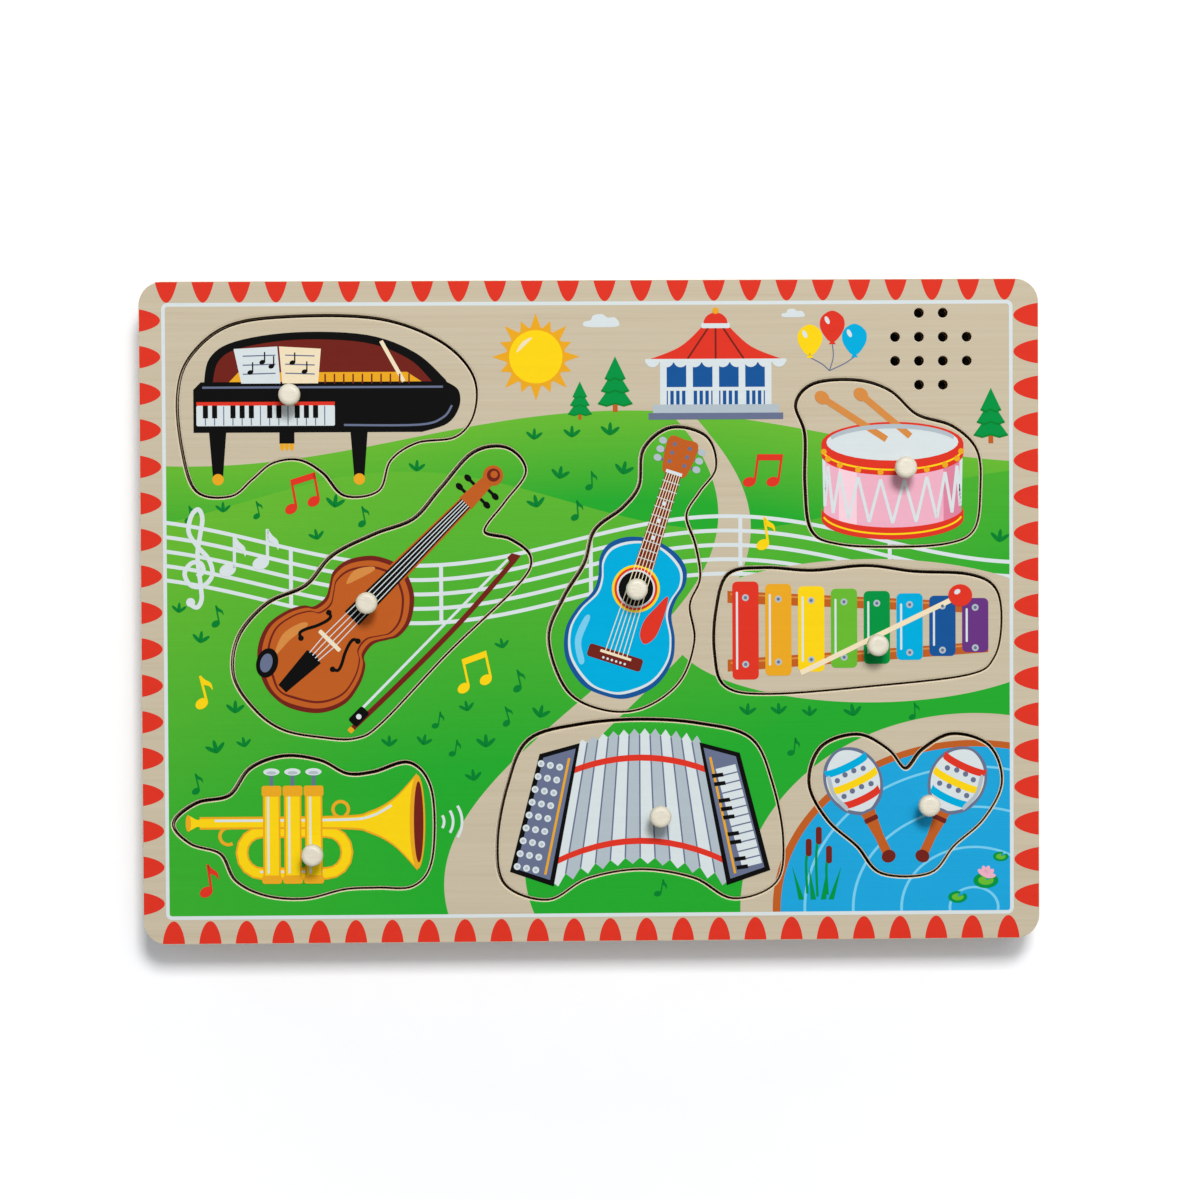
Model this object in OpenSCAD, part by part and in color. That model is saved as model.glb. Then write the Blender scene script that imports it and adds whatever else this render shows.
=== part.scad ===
// Wooden sound puzzle: a hollow board with eight lift-out peg pieces, a light sensor under each piece,
// a sound board, a loudspeaker, a battery bay and a slide switch. Millimetres, lying on its back.
// Origin: middle of the underside. +X to the right, +Y to the rear edge, +Z up through the pegs.

/* [Board] */
// Width of the board, left to right
board_w = 300; // [298:1:340]
// Depth of the board, front to rear
board_d = 221; // [219:1:260]
// Radius of the board's corners
corner_r = 8; // [3:0.5:12]
// Thickness of the printed face panel, which is the depth of the recesses
face_t = 5; // [4:0.5:8]
// Thickness of the floor panel under the recesses
floor_t = 2; // [1.5:0.25:4]
// Room between the battery box and the floor panel, which with the box gives the height of the rails
head_room = 0.2; // [0.1:0.1:6]
// Thickness of the back cover
back_t = 2.5; // [2.25:0.25:4]
// Width of the rails between the floor panel and the back cover
rail_w = 6; // [5:0.25:9]
// Width and depth of the support blocks in the hollow
support_w = 12; // [8:0.5:16]

/* [Pieces] */
// Thickness of the puzzle pieces
piece_t = 5; // [4:0.25:8]
// Gap between a piece and the edge of its recess
piece_gap = 0.8; // [0.5:0.1:1.2]
// Distance that a loose piece lies right of and below the middle of its recess
piece_rest = 0.2; // [0:0.05:0.35]

/* [Pegs] */
// Diameter of a peg's head
peg_head_d = 7.2; // [6:0.2:9]
// Height of a peg's head
peg_head_h = 5; // [4.5:0.25:7]
// Rounding of a peg's head
peg_edge_r = 1.5; // [1:0.1:2.2]
// Diameter of a peg's stem
peg_stem_d = 4; // [3:0.25:5]
// Length of the stem between the piece and the head
peg_stem_h = 7; // [4:0.5:9]
// Depth of the glued hole that a peg stands in
peg_hole_depth = 3.5; // [2.5:0.25:3.75]

/* [Speaker] */
// Diameter of the speaker's flange
speaker_d = 32; // [31:0.5:36]
// Depth of the speaker from flange to magnet
speaker_depth = 9; // [8:0.25:10]
// Diameter of the speaker's magnet
magnet_d = 16; // [13:0.5:18]
// Thickness of the foam gasket
gasket_t = 1; // [0.75:0.25:1.5]
// Distance from the right edge to the middle of the speaker
speaker_inset = 36; // [34:0.2:40]
// Diameter of a sound hole
sound_hole_d = 3.25; // [2:0.25:4]
// Distance between neighbouring sound holes
sound_hole_pitch = 8; // [6:0.25:8]
// Travel of the cone either way
cone_travel = 0.3; // [0.1:0.05:0.4]

/* [Light sensors] */
// Diameter of the window under a piece
window_d = 5; // [4:0.25:6]
// Diameter of a sensor's flange
sensor_d = 8; // [7:0.25:10]
// Thickness of a sensor's flange
sensor_t = 1.5; // [1:0.25:2]
// Diameter of the insulated leads
lead_d = 1.6; // [1.2:0.1:1.7]

/* [Sound board] */
// Width of the sound board
pcb_w = 58; // [54:1:64]
// Depth of the sound board
pcb_d = 36; // [32:1:38]
// Thickness of the sound board
pcb_t = 1.2; // [0.8:0.2:1.6]
// Height of the spacers under the floor panel
spacer_h = 3; // [2.5:0.25:3.5]
// Distance between neighbouring solder pads
pad_pitch = 6; // [5:0.25:6.25]

/* [Batteries] */
// Diameter of a cell
cell_d = 10.5; // [10:0.1:10.5]
// Length of a cell with its nub
cell_len = 44.5; // [42:0.5:50]
// Free length of a contact spring in the box
spring_len = 5; // [4.75:0.25:6]
// Wire diameter of a contact spring
spring_wire = 0.6; // [0.4:0.05:0.6]
// Turns of a contact spring
spring_turns = 4; // [3:1:4]
// Wall of the battery box
box_wall = 1.4; // [1:0.1:1.6]
// Depth of the battery door's face below the underside
door_recess = 0.3; // [0.2:0.05:0.5]
// Gap round the battery door
door_gap = 0.4; // [0.2:0.05:0.6]

/* [Switch] */
// Travel of the switch slider
switch_travel = 3; // [2:0.25:4]
// Length of the slider's knob
knob_len = 3; // [2:0.25:4]
// Width of the slider's knob
knob_w = 2.6; // [2:0.1:4]

/* [Fasteners] */
// Shank diameter of the back cover screws
screw_d = 2.6; // [2:0.1:3]
// Head diameter of the back cover screws
screw_head_d = 5.2; // [4.4:0.1:6]
// Length of the back cover screws
screw_len = 10; // [8:0.5:12]
// Shank diameter of the small screws in the sound board and the battery door
small_screw_d = 2; // [1.6:0.1:2.4]

/* [Hidden] */
$fn = 64;
outline_steps = 8;
fit = 0.05;
cut = 1;
run_gap = 0.2;
seat_gap = 0.3;

// Heights of the layers
contact_t = 0.4;
bay_len = cell_len + spring_len + 2 * contact_t;
bay_w = 2 * cell_d + 3 * run_gap;
bay_h = cell_d + 2 * run_gap;
box_h = bay_h + box_wall;
core_h = box_h + head_room;
z_core = back_t;
z_floor = z_core + core_h;
z_face = z_floor + floor_t;
z_top = z_face + face_t;

// Pieces: each has a name, the place of its peg and the control points of its outline.
// They are drawn for a board of the drawn size, and spread with the board.
drawn_w = 300;
drawn_d = 221;
function placed(p) = [p[0] * board_w / drawn_w, p[1] * board_d / drawn_d];
NAMES = ["piano", "violin", "guitar", "drum", "xylophone", "trumpet", "accordion", "maracas"];
PEG_PLACES = [[-99.5, 72.5], [-74.5, 3.5], [15, 7.5], [104.5, 47.5], [95, -11.5], [-93, -80], [22.5, -68],
    [112, -65]];
OUTLINE_POINTS = [
    [[-131, 41], [-120, 39.5], [-113, 45], [-106, 50.5], [-97, 51.5], [-89, 47], [-82, 39.5], [-71, 41],
     [-67, 51], [-58, 57], [-45, 59], [-39, 67], [-39.5, 79], [-50, 90], [-70, 97.5], [-98, 98.5],
     [-120, 95.5], [-133, 85], [-137, 72], [-135.5, 54]],
    [[-112, -32], [-103, -38.5], [-91, -41], [-79, -41.5], [-70, -36], [-48, -13], [-25, 9], [-20.5, 18],
     [-27, 24], [-36, 27], [-29, 37], [-22, 47], [-28, 54.5], [-39, 53], [-50, 41], [-59, 31], [-72, 26],
     [-86, 19], [-95, 9], [-108, 3], [-117.5, -8], [-119, -21]],
    [[-8, -26], [4, -32.5], [17, -32], [29, -23.5], [34, -10], [32.5, 2], [36, 11], [34.5, 22], [31.5, 32],
     [36, 40], [41.5, 48], [38.5, 58], [27, 61], [18, 54], [16.5, 42], [11, 34.5], [1.5, 27], [-2, 16],
     [-9, 4.5], [-14, -9]],
    [[74, 27], [83, 22.5], [101, 21.5], [119, 22.5], [128, 27], [130, 40], [129, 53], [121, 61], [109, 65],
     [100, 73], [89, 76.5], [75, 75.5], [69, 69], [72, 59], [72, 42]],
    [[45, -25], [60, -27.5], [95, -25], [126, -21.5], [134.5, -16], [137, -4], [135, 7], [126, 11.5],
     [108, 12.5], [92, 14.5], [74, 13], [58, 14], [46, 12], [42, 0], [41.5, -14]],
    [[-134, -76.5], [-124, -80], [-119, -89], [-109, -94], [-96, -95], [-83, -92], [-72, -91.5], [-60, -91],
     [-54, -82], [-54, -60], [-61, -50.5], [-73, -53.5], [-82, -54], [-91, -49.5], [-103, -48], [-114, -52],
     [-121, -61], [-132, -63.5], [-139.5, -70]],
    [[-29, -91], [-15, -96], [-2, -89], [16, -86], [34, -89], [47, -96], [61, -91], [63.5, -77], [60, -58],
     [53, -43], [36, -38], [16, -36.5], [-4, -38], [-21, -43], [-28, -58], [-31.5, -77]],
    [[97, -88], [113, -88], [121, -79], [131, -70], [137, -58], [133, -46], [121, -42], [111, -47],
     [105, -53.5], [99, -47], [89, -42], [77, -46], [73, -58], [79, -70], [89, -79]],
];
PEGS = [for (p = PEG_PLACES) placed(p)];
OUTLINES = [for (points = OUTLINE_POINTS) [for (p = points) placed(p)]];

// Support blocks in the hollow, clear of the sensors and their leads
SUPPORT_PLACES = [[-60, -40], [-60, 32], [62, 20], [66, -88]];
SUPPORTS = [for (p = SUPPORT_PLACES) placed(p)];

// Back cover screws: three along each long rail and two along each side rail
corner_screw_inset = 14;
side_screw_inset = 65;
long_screw_x = board_w / 2 - corner_screw_inset;
side_screw_y = board_d / 2 - side_screw_inset;
rail_mid = rail_w / 2;
SCREWS = concat(
    [for (x = [-long_screw_x, 0, long_screw_x], y = [-1, 1]) [x, y * (board_d / 2 - rail_mid)]],
    [for (x = [-1, 1], y = [-side_screw_y, side_screw_y]) [x * (board_w / 2 - rail_mid), y]]);
screw_head_h = (screw_head_d - screw_d) / 2;
screw_tip_d = 0.4;
pilot_extra = 0.5;
small_head_lip = 1.3;
small_head_d = small_screw_d + 2 * small_head_lip;
small_head_h = 1.2;

// Speaker, seated under the floor panel beside the rear rail
speaker_rear_gap = 1.4;
speaker_at = [board_w / 2 - speaker_inset, board_d / 2 - rail_w - speaker_rear_gap - speaker_d / 2];
SOUND_HOLES = [for (i = [-1.5 : 1.5], j = [-1.5 : 1.5]) if (abs(i) + abs(j) < 3)
    speaker_at + sound_hole_pitch * [i, j]];
flange_t = 1;
flange_w = 1.7;
mouth_r = speaker_d / 2 - flange_w;
gasket_w = 0.9;
basket_wall = 0.6;
z_flange = z_floor - gasket_t;
z_basket = z_flange - flange_t;
z_speaker = z_flange - speaker_depth;
magnet_h = 3.6;
z_magnet = z_speaker + magnet_h;
former_r = 3.6;
former_wall = 0.4;
coil_gap = 0.5;
coil_depth = 1.2;
surround_r = 0.8 * gasket_t;
surround_t = 0.35;
cone_r = mouth_r - 2 * surround_r - 2 * seat_gap;
cone_t = 0.4;
z_cone_rim = z_flange - 2 * cone_travel;
z_cone_foot = z_magnet + basket_wall + 2 * cone_travel;
tag_len = 3;
tag_w = 2.2;
tag_angles = [214, 236];
clip_w = 6;
clip_lip = 1;
clip_lip_t = 1.5;

// Sensors: a head in the window, a flange glued under the floor panel, and a stub for the lead
sensor_stub_d = 3;
sensor_stub_h = 1.5;
z_sensor_stub = z_floor - sensor_t - sensor_stub_h;

// Sound board, hung under the floor panel on spacers
pcb_x = -10;
pcb_rear_gap = 18.5;
pcb_at = [pcb_x, board_d / 2 - rail_w - pcb_rear_gap - pcb_d / 2];
pcb_hole_inset = 3.5;
spacer_d = 5.5;
z_pcb = z_floor - spacer_h - pcb_t;
chip_offset = [-8, 9];
chip_at = pcb_at + chip_offset;
chip_d = 13;
chip_h = 1.8;
capacitor_offset = [16, -1];
capacitor_at = pcb_at + capacitor_offset;
capacitor_d = 6;
capacitor_h = 6.5;
small_part = [3.2, 1.6, 1];
small_part_pitch = 4;
small_part_offset = [-6, -10];
pad_row_inset = 9;
pad_row_y = pcb_at[1] - pcb_d / 2 + pad_row_inset;
PAD_OF_SENSOR = [0, 1, 6, 8, 7, 2, 3, 4];
battery_pad = 5;
speaker_pad_inset = 7;
speaker_pad_x = pcb_at[0] + pcb_w / 2 - speaker_pad_inset;

// Leads run left to right on one level and front to rear on the level below it
lead_room = 0.6;
z_lead_x = z_pcb - lead_d - lead_room;
z_lead_y = z_lead_x - 2 * lead_d;
lead_bend = 0.75 * lead_d;

// Battery box, standing on the back cover and open towards the door
box_place = [-2, -32];
box_left = placed(box_place)[0];
box_mid_y = placed(box_place)[1];
boss_len = 8;
box_flange_w = 3;
box_flange_t = 1.2;
box_len = bay_len + 2 * box_wall + boss_len;
box_w = bay_w + 2 * box_wall;
bay_x = box_left + box_wall;
bay_end = bay_x + bay_len;
boss_x = bay_end + box_wall + boss_len / 2;
nub_d = 3.8;
nub_h = 1;
z_cell = z_core + run_gap + cell_d / 2;
cell_y = [box_mid_y + cell_d / 2 + run_gap / 2, box_mid_y - cell_d / 2 - run_gap / 2];
spring_d = 6;
spring_steps = 8;
spring_run = spring_len - spring_wire - 2 * fit;
door_screw_len = 7;
grip_grooves = 5;
grip_pitch = 2;
grip_len = 14.6;
grip_depth = 0.5;
grip_start = 3;
contact_w = 8.4;

// Slide switch on the inside of the back cover
switch_gap = 16;
switch_at = [box_left + box_len + switch_gap, box_mid_y];
slider_lip = [0.7, 0.4];
slider_len = knob_len + 2 * slider_lip[0];
slider_w = knob_w + 2 * slider_lip[1];
slider_h = 2;
channel_len = slider_len + switch_travel + 2 * run_gap;
channel_w = slider_w + 2 * run_gap;
channel_h = slider_h + 2 * run_gap;
slot_len = knob_len + switch_travel + 2 * run_gap;
slot_w = knob_w + 2 * run_gap;
pocket_depth = back_t / 2;
pocket_margin = 3;
knob_recess = 0.4;
switch_wall = 1.2;
slider_x = switch_at[0] - switch_travel / 2;
z_switch_lead = z_core + 1.5 * lead_d;

// Closed smooth curve through control points, and the same curve moved outwards
function wrapped(p, i) = p[(i + len(p)) % len(p)];
function spline_at(a, b, c, d, t) =
    0.5 * (2 * b + (c - a) * t + (2 * a - 5 * b + 4 * c - d) * t * t + (3 * b - a - 3 * c + d) * t * t * t);
function outline(p) = [for (i = [0 : len(p) - 1], k = [0 : outline_steps - 1])
    spline_at(wrapped(p, i - 1), p[i], wrapped(p, i + 1), wrapped(p, i + 2), k / outline_steps)];
function outward(q, i) = let (d = wrapped(q, i + 1) - wrapped(q, i - 1)) [d[1], -d[0]] / norm(d);
function grown(q, gap) = [for (i = [0 : len(q) - 1]) q[i] + gap * outward(q, i)];

// Path with its corners eased, and a tube swept along a path
function unit(v) = v / norm(v);
function eased(p, r) = [p[0], for (i = [1 : len(p) - 2])
    let (a = p[i] + r * unit(p[i - 1] - p[i]), b = p[i] + r * unit(p[i + 1] - p[i]))
    each [a, (a + 2 * p[i] + b) / 4, b], p[len(p) - 1]];
function heading(p, i) = unit(p[min(i + 1, len(p) - 1)] - p[max(i - 1, 0)]);
function ring(centre, along, aside, r, sides) = let (u = unit(cross(aside, along)), v = cross(along, u))
    [for (k = [0 : sides - 1]) centre + r * (cos(360 * k / sides) * u + sin(360 * k / sides) * v)];

module tube(path, d, aside, sides) {
    last = (len(path) - 1) * sides;
    points = [for (i = [0 : len(path) - 1]) each ring(path[i], heading(path, i), aside, d / 2, sides)];
    walls = [for (i = [0 : len(path) - 2], k = [0 : sides - 1])
        let (a = i * sides + k, b = i * sides + (k + 1) % sides)
        each [[a, a + sides, b + sides], [a, b + sides, b]]];
    ends = [for (k = [1 : sides - 2]) each [[0, k, k + 1], [last, last + k + 1, last + k]]];
    polyhedron(points, concat(walls, ends));
}

module lead(path) {
    tube(eased(path, lead_bend), lead_d, [1, 1, 1], 8);
}

module board_shape() {
    inner = [board_w - 2 * corner_r, board_d - 2 * corner_r];
    square([board_w, inner[1]], center = true);
    square([inner[0], board_d], center = true);
    for (x = [-1, 1], y = [-1, 1])
        translate([x * inner[0] / 2, y * inner[1] / 2]) circle(corner_r);
}

module block(x0, x1, y0, y1, z0, z1) {
    translate([x0, y0, z0]) cube([x1 - x0, y1 - y0, z1 - z0]);
}

module disc(at, z0, z1, d) {
    translate([at[0], at[1], z0]) cylinder(h = z1 - z0, d = d);
}

module bar_x(x0, x1, y, z, d) {
    translate([x0, y, z]) rotate([0, 90, 0]) cylinder(h = x1 - x0, d = d);
}

// Cross recess of a screw head, cut upwards from its face
module cross_recess(at, z, size, depth) {
    for (turn = [0, 90])
        translate([at[0], at[1], z]) rotate(turn)
            translate([-size / 2, -size / 8, -depth]) cube([size, size / 4, 2 * depth]);
}

// Face panel with the recesses and the sound holes
module face_panel() {
    color("burlywood") difference() {
        translate([0, 0, z_face]) linear_extrude(face_t) difference() {
            board_shape();
            for (p = OUTLINES) polygon(grown(outline(p), piece_gap));
        }
        for (h = SOUND_HOLES) disc(h, z_face - cut, z_top + cut, sound_hole_d);
    }
}

// Floor panel that the pieces lie on, with a window for each sensor
module floor_panel() {
    color("tan") difference() {
        translate([0, 0, z_floor]) linear_extrude(floor_t) board_shape();
        for (p = PEGS) disc(p, z_floor - cut, z_face + cut, window_d);
        for (h = SOUND_HOLES) disc(h, z_floor - cut, z_face + cut, sound_hole_d);
    }
}

// Rails of the hollow core, each a strip of the board's outline with pilot holes for the screws
module rail(x0, x1, y0, y1) {
    color("wheat") difference() {
        translate([0, 0, z_core]) linear_extrude(core_h) intersection() {
            board_shape();
            translate([x0, y0]) square([x1 - x0, y1 - y0]);
        }
        for (s = SCREWS)
            if (s[0] > x0 && s[0] < x1 && s[1] > y0 && s[1] < y1)
                disc(s, z_core - cut, screw_len + pilot_extra, screw_d + 2 * fit);
    }
}

module front_rail() { rail(-board_w / 2, board_w / 2, -board_d / 2, rail_w - board_d / 2); }
module rear_rail() { rail(-board_w / 2, board_w / 2, board_d / 2 - rail_w, board_d / 2); }
module left_rail() { rail(-board_w / 2, rail_w - board_w / 2, rail_w - board_d / 2, board_d / 2 - rail_w); }
module right_rail() { rail(board_w / 2 - rail_w, board_w / 2, rail_w - board_d / 2, board_d / 2 - rail_w); }

module support_blocks() {
    color("wheat") for (p = SUPPORTS)
        translate([p[0], p[1], z_core + core_h / 2]) cube([support_w, support_w, core_h], center = true);
}

// Battery door's outline, also cut from the back cover with the door's gap added
module door_block(gap, z0, z1) {
    half_w = box_w / 2 + gap;
    block(box_left - gap, box_left + box_len + gap, box_mid_y - half_w, box_mid_y + half_w, z0, z1);
}

// Back cover with the door's opening, the switch's slot and finger pocket, and countersunk holes
module back_cover() {
    pocket_len = slot_len + 2 * pocket_margin;
    pocket_w = slot_w + 2 * pocket_margin;
    color("peru") difference() {
        linear_extrude(back_t) board_shape();
        door_block(door_gap, -cut, back_t + cut);
        translate([switch_at[0], switch_at[1], 0]) {
            cube([slot_len, slot_w, 3 * back_t], center = true);
            cube([pocket_len, pocket_w, 2 * pocket_depth], center = true);
        }
        for (s = SCREWS) {
            disc(s, -cut, back_t + cut, screw_d + 2 * fit);
            translate([s[0], s[1], 0])
                cylinder(h = screw_head_h + fit, d1 = screw_head_d + 2 * fit, d2 = screw_d);
        }
    }
}

module back_cover_screws() {
    color("silver") for (s = SCREWS) difference() {
        union() {
            translate([s[0], s[1], 0]) cylinder(h = screw_head_h, d1 = screw_head_d, d2 = screw_d);
            disc(s, screw_head_h, screw_len - screw_d, screw_d);
            translate([s[0], s[1], screw_len - screw_d])
                cylinder(h = screw_d, d1 = screw_d, d2 = screw_tip_d);
        }
        cross_recess(s, 0, 0.55 * screw_head_d, 0.6 * screw_head_h);
    }
}

// Puzzle piece, lying in its recess, with the glued hole for its peg
module puzzle_piece(k) {
    rest = min(piece_rest, piece_gap / 2);
    color("navajowhite") difference() {
        translate([rest, -rest, z_face]) linear_extrude(piece_t) polygon(outline(OUTLINES[k]));
        disc(PEGS[k], z_face + piece_t - peg_hole_depth, z_face + piece_t + cut, peg_stem_d + 2 * fit);
    }
}

// Turned peg: a stem with a flat-topped, rounded head
module peg(k) {
    head_r = peg_head_d / 2;
    neck = peg_hole_depth + peg_stem_h;
    edge_r = min(peg_edge_r, 0.45 * peg_head_h, 0.45 * peg_head_d);
    foot = z_face + piece_t - peg_hole_depth;
    color("cornsilk") translate([PEGS[k][0], PEGS[k][1], foot]) rotate_extrude() {
        square([peg_stem_d / 2, neck + edge_r]);
        translate([0, neck]) {
            square([head_r - edge_r, peg_head_h]);
            translate([0, edge_r]) square([head_r, peg_head_h - 2 * edge_r]);
            intersection() {
                square([head_r, peg_head_h]);
                for (y = [edge_r, peg_head_h - edge_r])
                    translate([head_r - edge_r, y]) circle(edge_r);
            }
        }
    }
}

module light_sensor(k) {
    color("dimgray") {
        disc(PEGS[k], z_floor, z_face - seat_gap, window_d - 2 * fit);
        disc(PEGS[k], z_floor - sensor_t, z_floor, sensor_d);
        disc(PEGS[k], z_sensor_stub, z_floor - sensor_t, sensor_stub_d);
    }
}

module speaker_gasket() {
    color("dimgray") difference() {
        disc(speaker_at, z_flange, z_floor, speaker_d);
        disc(speaker_at, z_flange - cut, z_floor + cut, speaker_d - 2 * gasket_w);
    }
}

// Speaker basket: a flange, a tapered cup with an open mouth, and two solder tags
module speaker_basket() {
    foot_r = magnet_d / 2 + basket_wall;
    bore_r = former_r + coil_gap;
    color("slategray") translate([speaker_at[0], speaker_at[1], 0]) {
        rotate_extrude() polygon([
            [bore_r, z_magnet], [foot_r + basket_wall, z_magnet], [mouth_r + basket_wall, z_basket],
            [speaker_d / 2, z_basket], [speaker_d / 2, z_flange], [mouth_r, z_flange], [mouth_r, z_basket],
            [foot_r, z_magnet + basket_wall], [bore_r, z_magnet + basket_wall]]);
        for (turn = tag_angles) rotate(turn)
            block(speaker_d / 2 - flange_w / 2, speaker_d / 2 + tag_len, -tag_w / 2, tag_w / 2,
                  z_basket, z_flange);
    }
}

// Half-round rubber edge, glued on the flange and reaching in to the cone
module speaker_surround() {
    roll_r = mouth_r - surround_r;
    lip = mouth_r + flange_w - gasket_w - fit;
    color("black") translate([speaker_at[0], speaker_at[1], z_flange]) rotate_extrude() {
        translate([roll_r, 0]) intersection() {
            difference() {
                circle(surround_r);
                circle(surround_r - surround_t);
            }
            translate([-2 * surround_r, 0]) square(4 * surround_r);
        }
        translate([mouth_r - surround_t, 0]) square([lip - mouth_r + surround_t, surround_t]);
    }
}

// Paper cone with its dust cap and the voice coil's former
module speaker_cone() {
    foot = z_cone_foot;
    color("darkslategray") translate([speaker_at[0], speaker_at[1], 0]) rotate_extrude() {
        polygon([[former_r - former_wall, foot], [former_r, foot], [cone_r, z_cone_rim - cone_t],
                 [cone_r, z_cone_rim], [former_r - former_wall, foot + 2 * cone_t]]);
        translate([0, foot]) square([former_r - former_wall / 2, cone_t]);
        translate([former_r - former_wall, z_magnet - coil_depth])
            square([former_wall, foot + cone_t - z_magnet + coil_depth]);
    }
}

module speaker_magnet() {
    color("gray") difference() {
        disc(speaker_at, z_speaker, z_magnet, magnet_d);
        difference() {
            disc(speaker_at, z_magnet - 2 * coil_depth, z_magnet + cut, 2 * (former_r + coil_gap));
            disc(speaker_at, z_speaker, z_magnet + 2 * cut, 2 * (former_r - former_wall - coil_gap));
        }
    }
}

// Clips that hold the speaker's flange against the floor panel
module speaker_clips() {
    inner = speaker_d / 2 + fit;
    z_clip = z_basket - clip_lip_t;
    color("wheat") for (turn = [0, 180, 270])
        translate([speaker_at[0], speaker_at[1], 0]) rotate(turn) {
            block(inner, inner + clip_w, -clip_w / 2, clip_w / 2, z_clip, z_floor);
            block(inner - clip_lip, inner + clip_w, -clip_w / 2, clip_w / 2, z_clip, z_basket);
        }
}

function pcb_corners() = [for (x = [-1, 1], y = [-1, 1])
    pcb_at + [x * (pcb_w / 2 - pcb_hole_inset), y * (pcb_d / 2 - pcb_hole_inset)]];

module sound_board() {
    color("seagreen") difference() {
        block(pcb_at[0] - pcb_w / 2, pcb_at[0] + pcb_w / 2, pcb_at[1] - pcb_d / 2, pcb_at[1] + pcb_d / 2,
              z_pcb, z_pcb + pcb_t);
        for (c = pcb_corners()) disc(c, z_pcb - cut, z_pcb + pcb_t + cut, small_screw_d + 4 * fit);
    }
}

// Black potting drop over the sound chip
module sound_chip() {
    color("black") translate([chip_at[0], chip_at[1], z_pcb]) rotate_extrude() intersection() {
        translate([0, -chip_h]) square([chip_d / 2, chip_h]);
        translate([0, chip_d / 2 - chip_h]) circle(chip_d / 2);
    }
}

// Capacitor and four small parts soldered under the sound board
module board_parts() {
    first = chip_at + small_part_offset;
    color("darkslateblue") {
        disc(capacitor_at, z_pcb - capacitor_h, z_pcb, capacitor_d);
        for (k = [0 : 3])
            translate([first[0] + small_part_pitch * k, first[1], z_pcb - small_part[2]]) cube(small_part);
    }
}

module board_spacers() {
    color("white") for (c = pcb_corners()) difference() {
        disc(c, z_pcb + pcb_t, z_floor, spacer_d);
        disc(c, z_pcb, z_floor - small_screw_d / 4, small_screw_d + 2 * fit);
    }
}

module board_screws() {
    color("silver") for (c = pcb_corners()) difference() {
        union() {
            disc(c, z_pcb - small_head_h, z_pcb, small_head_d);
            disc(c, z_pcb, z_floor - small_screw_d / 2, small_screw_d);
        }
        cross_recess(c, z_pcb - small_head_h, 0.55 * small_head_d, 0.6 * small_head_h);
    }
}

// Place of a solder pad in the row along the sound board's front edge
function pad(k) = [pcb_at[0] + (k - 4) * pad_pitch, pad_row_y];

// Leads from each sensor: left to right under the floor panel, then to the rear and up to a pad
module sensor_leads() {
    color("firebrick") for (k = [0 : len(PEGS) - 1]) {
        p = PEGS[k];
        end = pad(PAD_OF_SENSOR[k]);
        lead([[p[0], p[1], z_sensor_stub], [p[0], p[1], z_lead_x], [end[0], p[1], z_lead_x],
              [end[0], p[1], z_lead_y], [end[0], end[1], z_lead_y], [end[0], end[1], z_pcb]]);
    }
}

module speaker_leads() {
    color("black") for (turn = tag_angles) {
        p = speaker_at + (speaker_d / 2 + tag_len / 2) * [cos(turn), sin(turn)];
        lead([[p[0], p[1], z_basket], [p[0], p[1], z_lead_y], [speaker_pad_x, p[1], z_lead_y],
              [speaker_pad_x, p[1], z_pcb]]);
    }
}

// Lead from the battery box to its pad, and from the box's far end to the switch
module battery_leads() {
    end = pad(battery_pad);
    switch_side = switch_at[0] - channel_len / 2 - switch_wall;
    color("crimson") {
        lead([[box_left, box_mid_y, z_lead_y], [end[0], box_mid_y, z_lead_y], [end[0], end[1], z_lead_y],
              [end[0], end[1], z_pcb]]);
        lead([[box_left + box_len, box_mid_y, z_switch_lead],
              [(box_left + box_len + switch_side) / 2, box_mid_y, z_switch_lead],
              [switch_side, box_mid_y, z_switch_lead]]);
    }
}

// Battery box: one bay for both cells, a foot on the back cover and a boss for the door's screw
module battery_box() {
    color("dimgray") difference() {
        union() {
            door_block(0, z_core, z_core + box_h);
            door_block(box_flange_w, z_core, z_core + box_flange_t);
        }
        block(bay_x, bay_end, box_mid_y - bay_w / 2, box_mid_y + bay_w / 2, z_core - cut, z_core + bay_h);
        disc([boss_x, box_mid_y], z_core - cut, door_screw_len + pilot_extra, small_screw_d + 2 * fit);
    }
}

// Dry cell lying along X with its nub at the given end
module cell(y, nub_x, way) {
    shoulder = nub_x - way * nub_h;
    tail = nub_x - way * cell_len;
    color("goldenrod") {
        bar_x(min(shoulder, tail), max(shoulder, tail), y, z_cell, cell_d);
        bar_x(min(nub_x, shoulder), max(nub_x, shoulder), y, z_cell, nub_d);
    }
}

module upper_cell() { cell(cell_y[0], bay_end - contact_t, 1); }
module lower_cell() { cell(cell_y[1], bay_x + contact_t, -1); }

// Contact springs: one unbroken winding behind each cell's flat end
function winding(x, y) = [for (k = [0 : spring_turns * spring_steps])
    let (turn = 360 * k / spring_steps, r = (spring_d - spring_wire) / 2)
    [x + spring_wire / 2 + fit + spring_run * k / (spring_turns * spring_steps),
     y + r * cos(turn), z_cell + r * sin(turn)]];
function least_gap(p) = min([for (i = [0 : len(p) - 1], j = [i + spring_steps / 2 : 1 : len(p) - 1])
    norm(p[i] - p[j])]) - spring_wire;
SPRINGS = [winding(bay_x + contact_t, cell_y[0]), winding(bay_end - contact_t - spring_len, cell_y[1])];
echo(spring_least_gap = least_gap(SPRINGS[0]));

module battery_springs() {
    color("silver") for (p = SPRINGS) tube(p, spring_wire, [1, 0, 0], 6);
}

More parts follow.
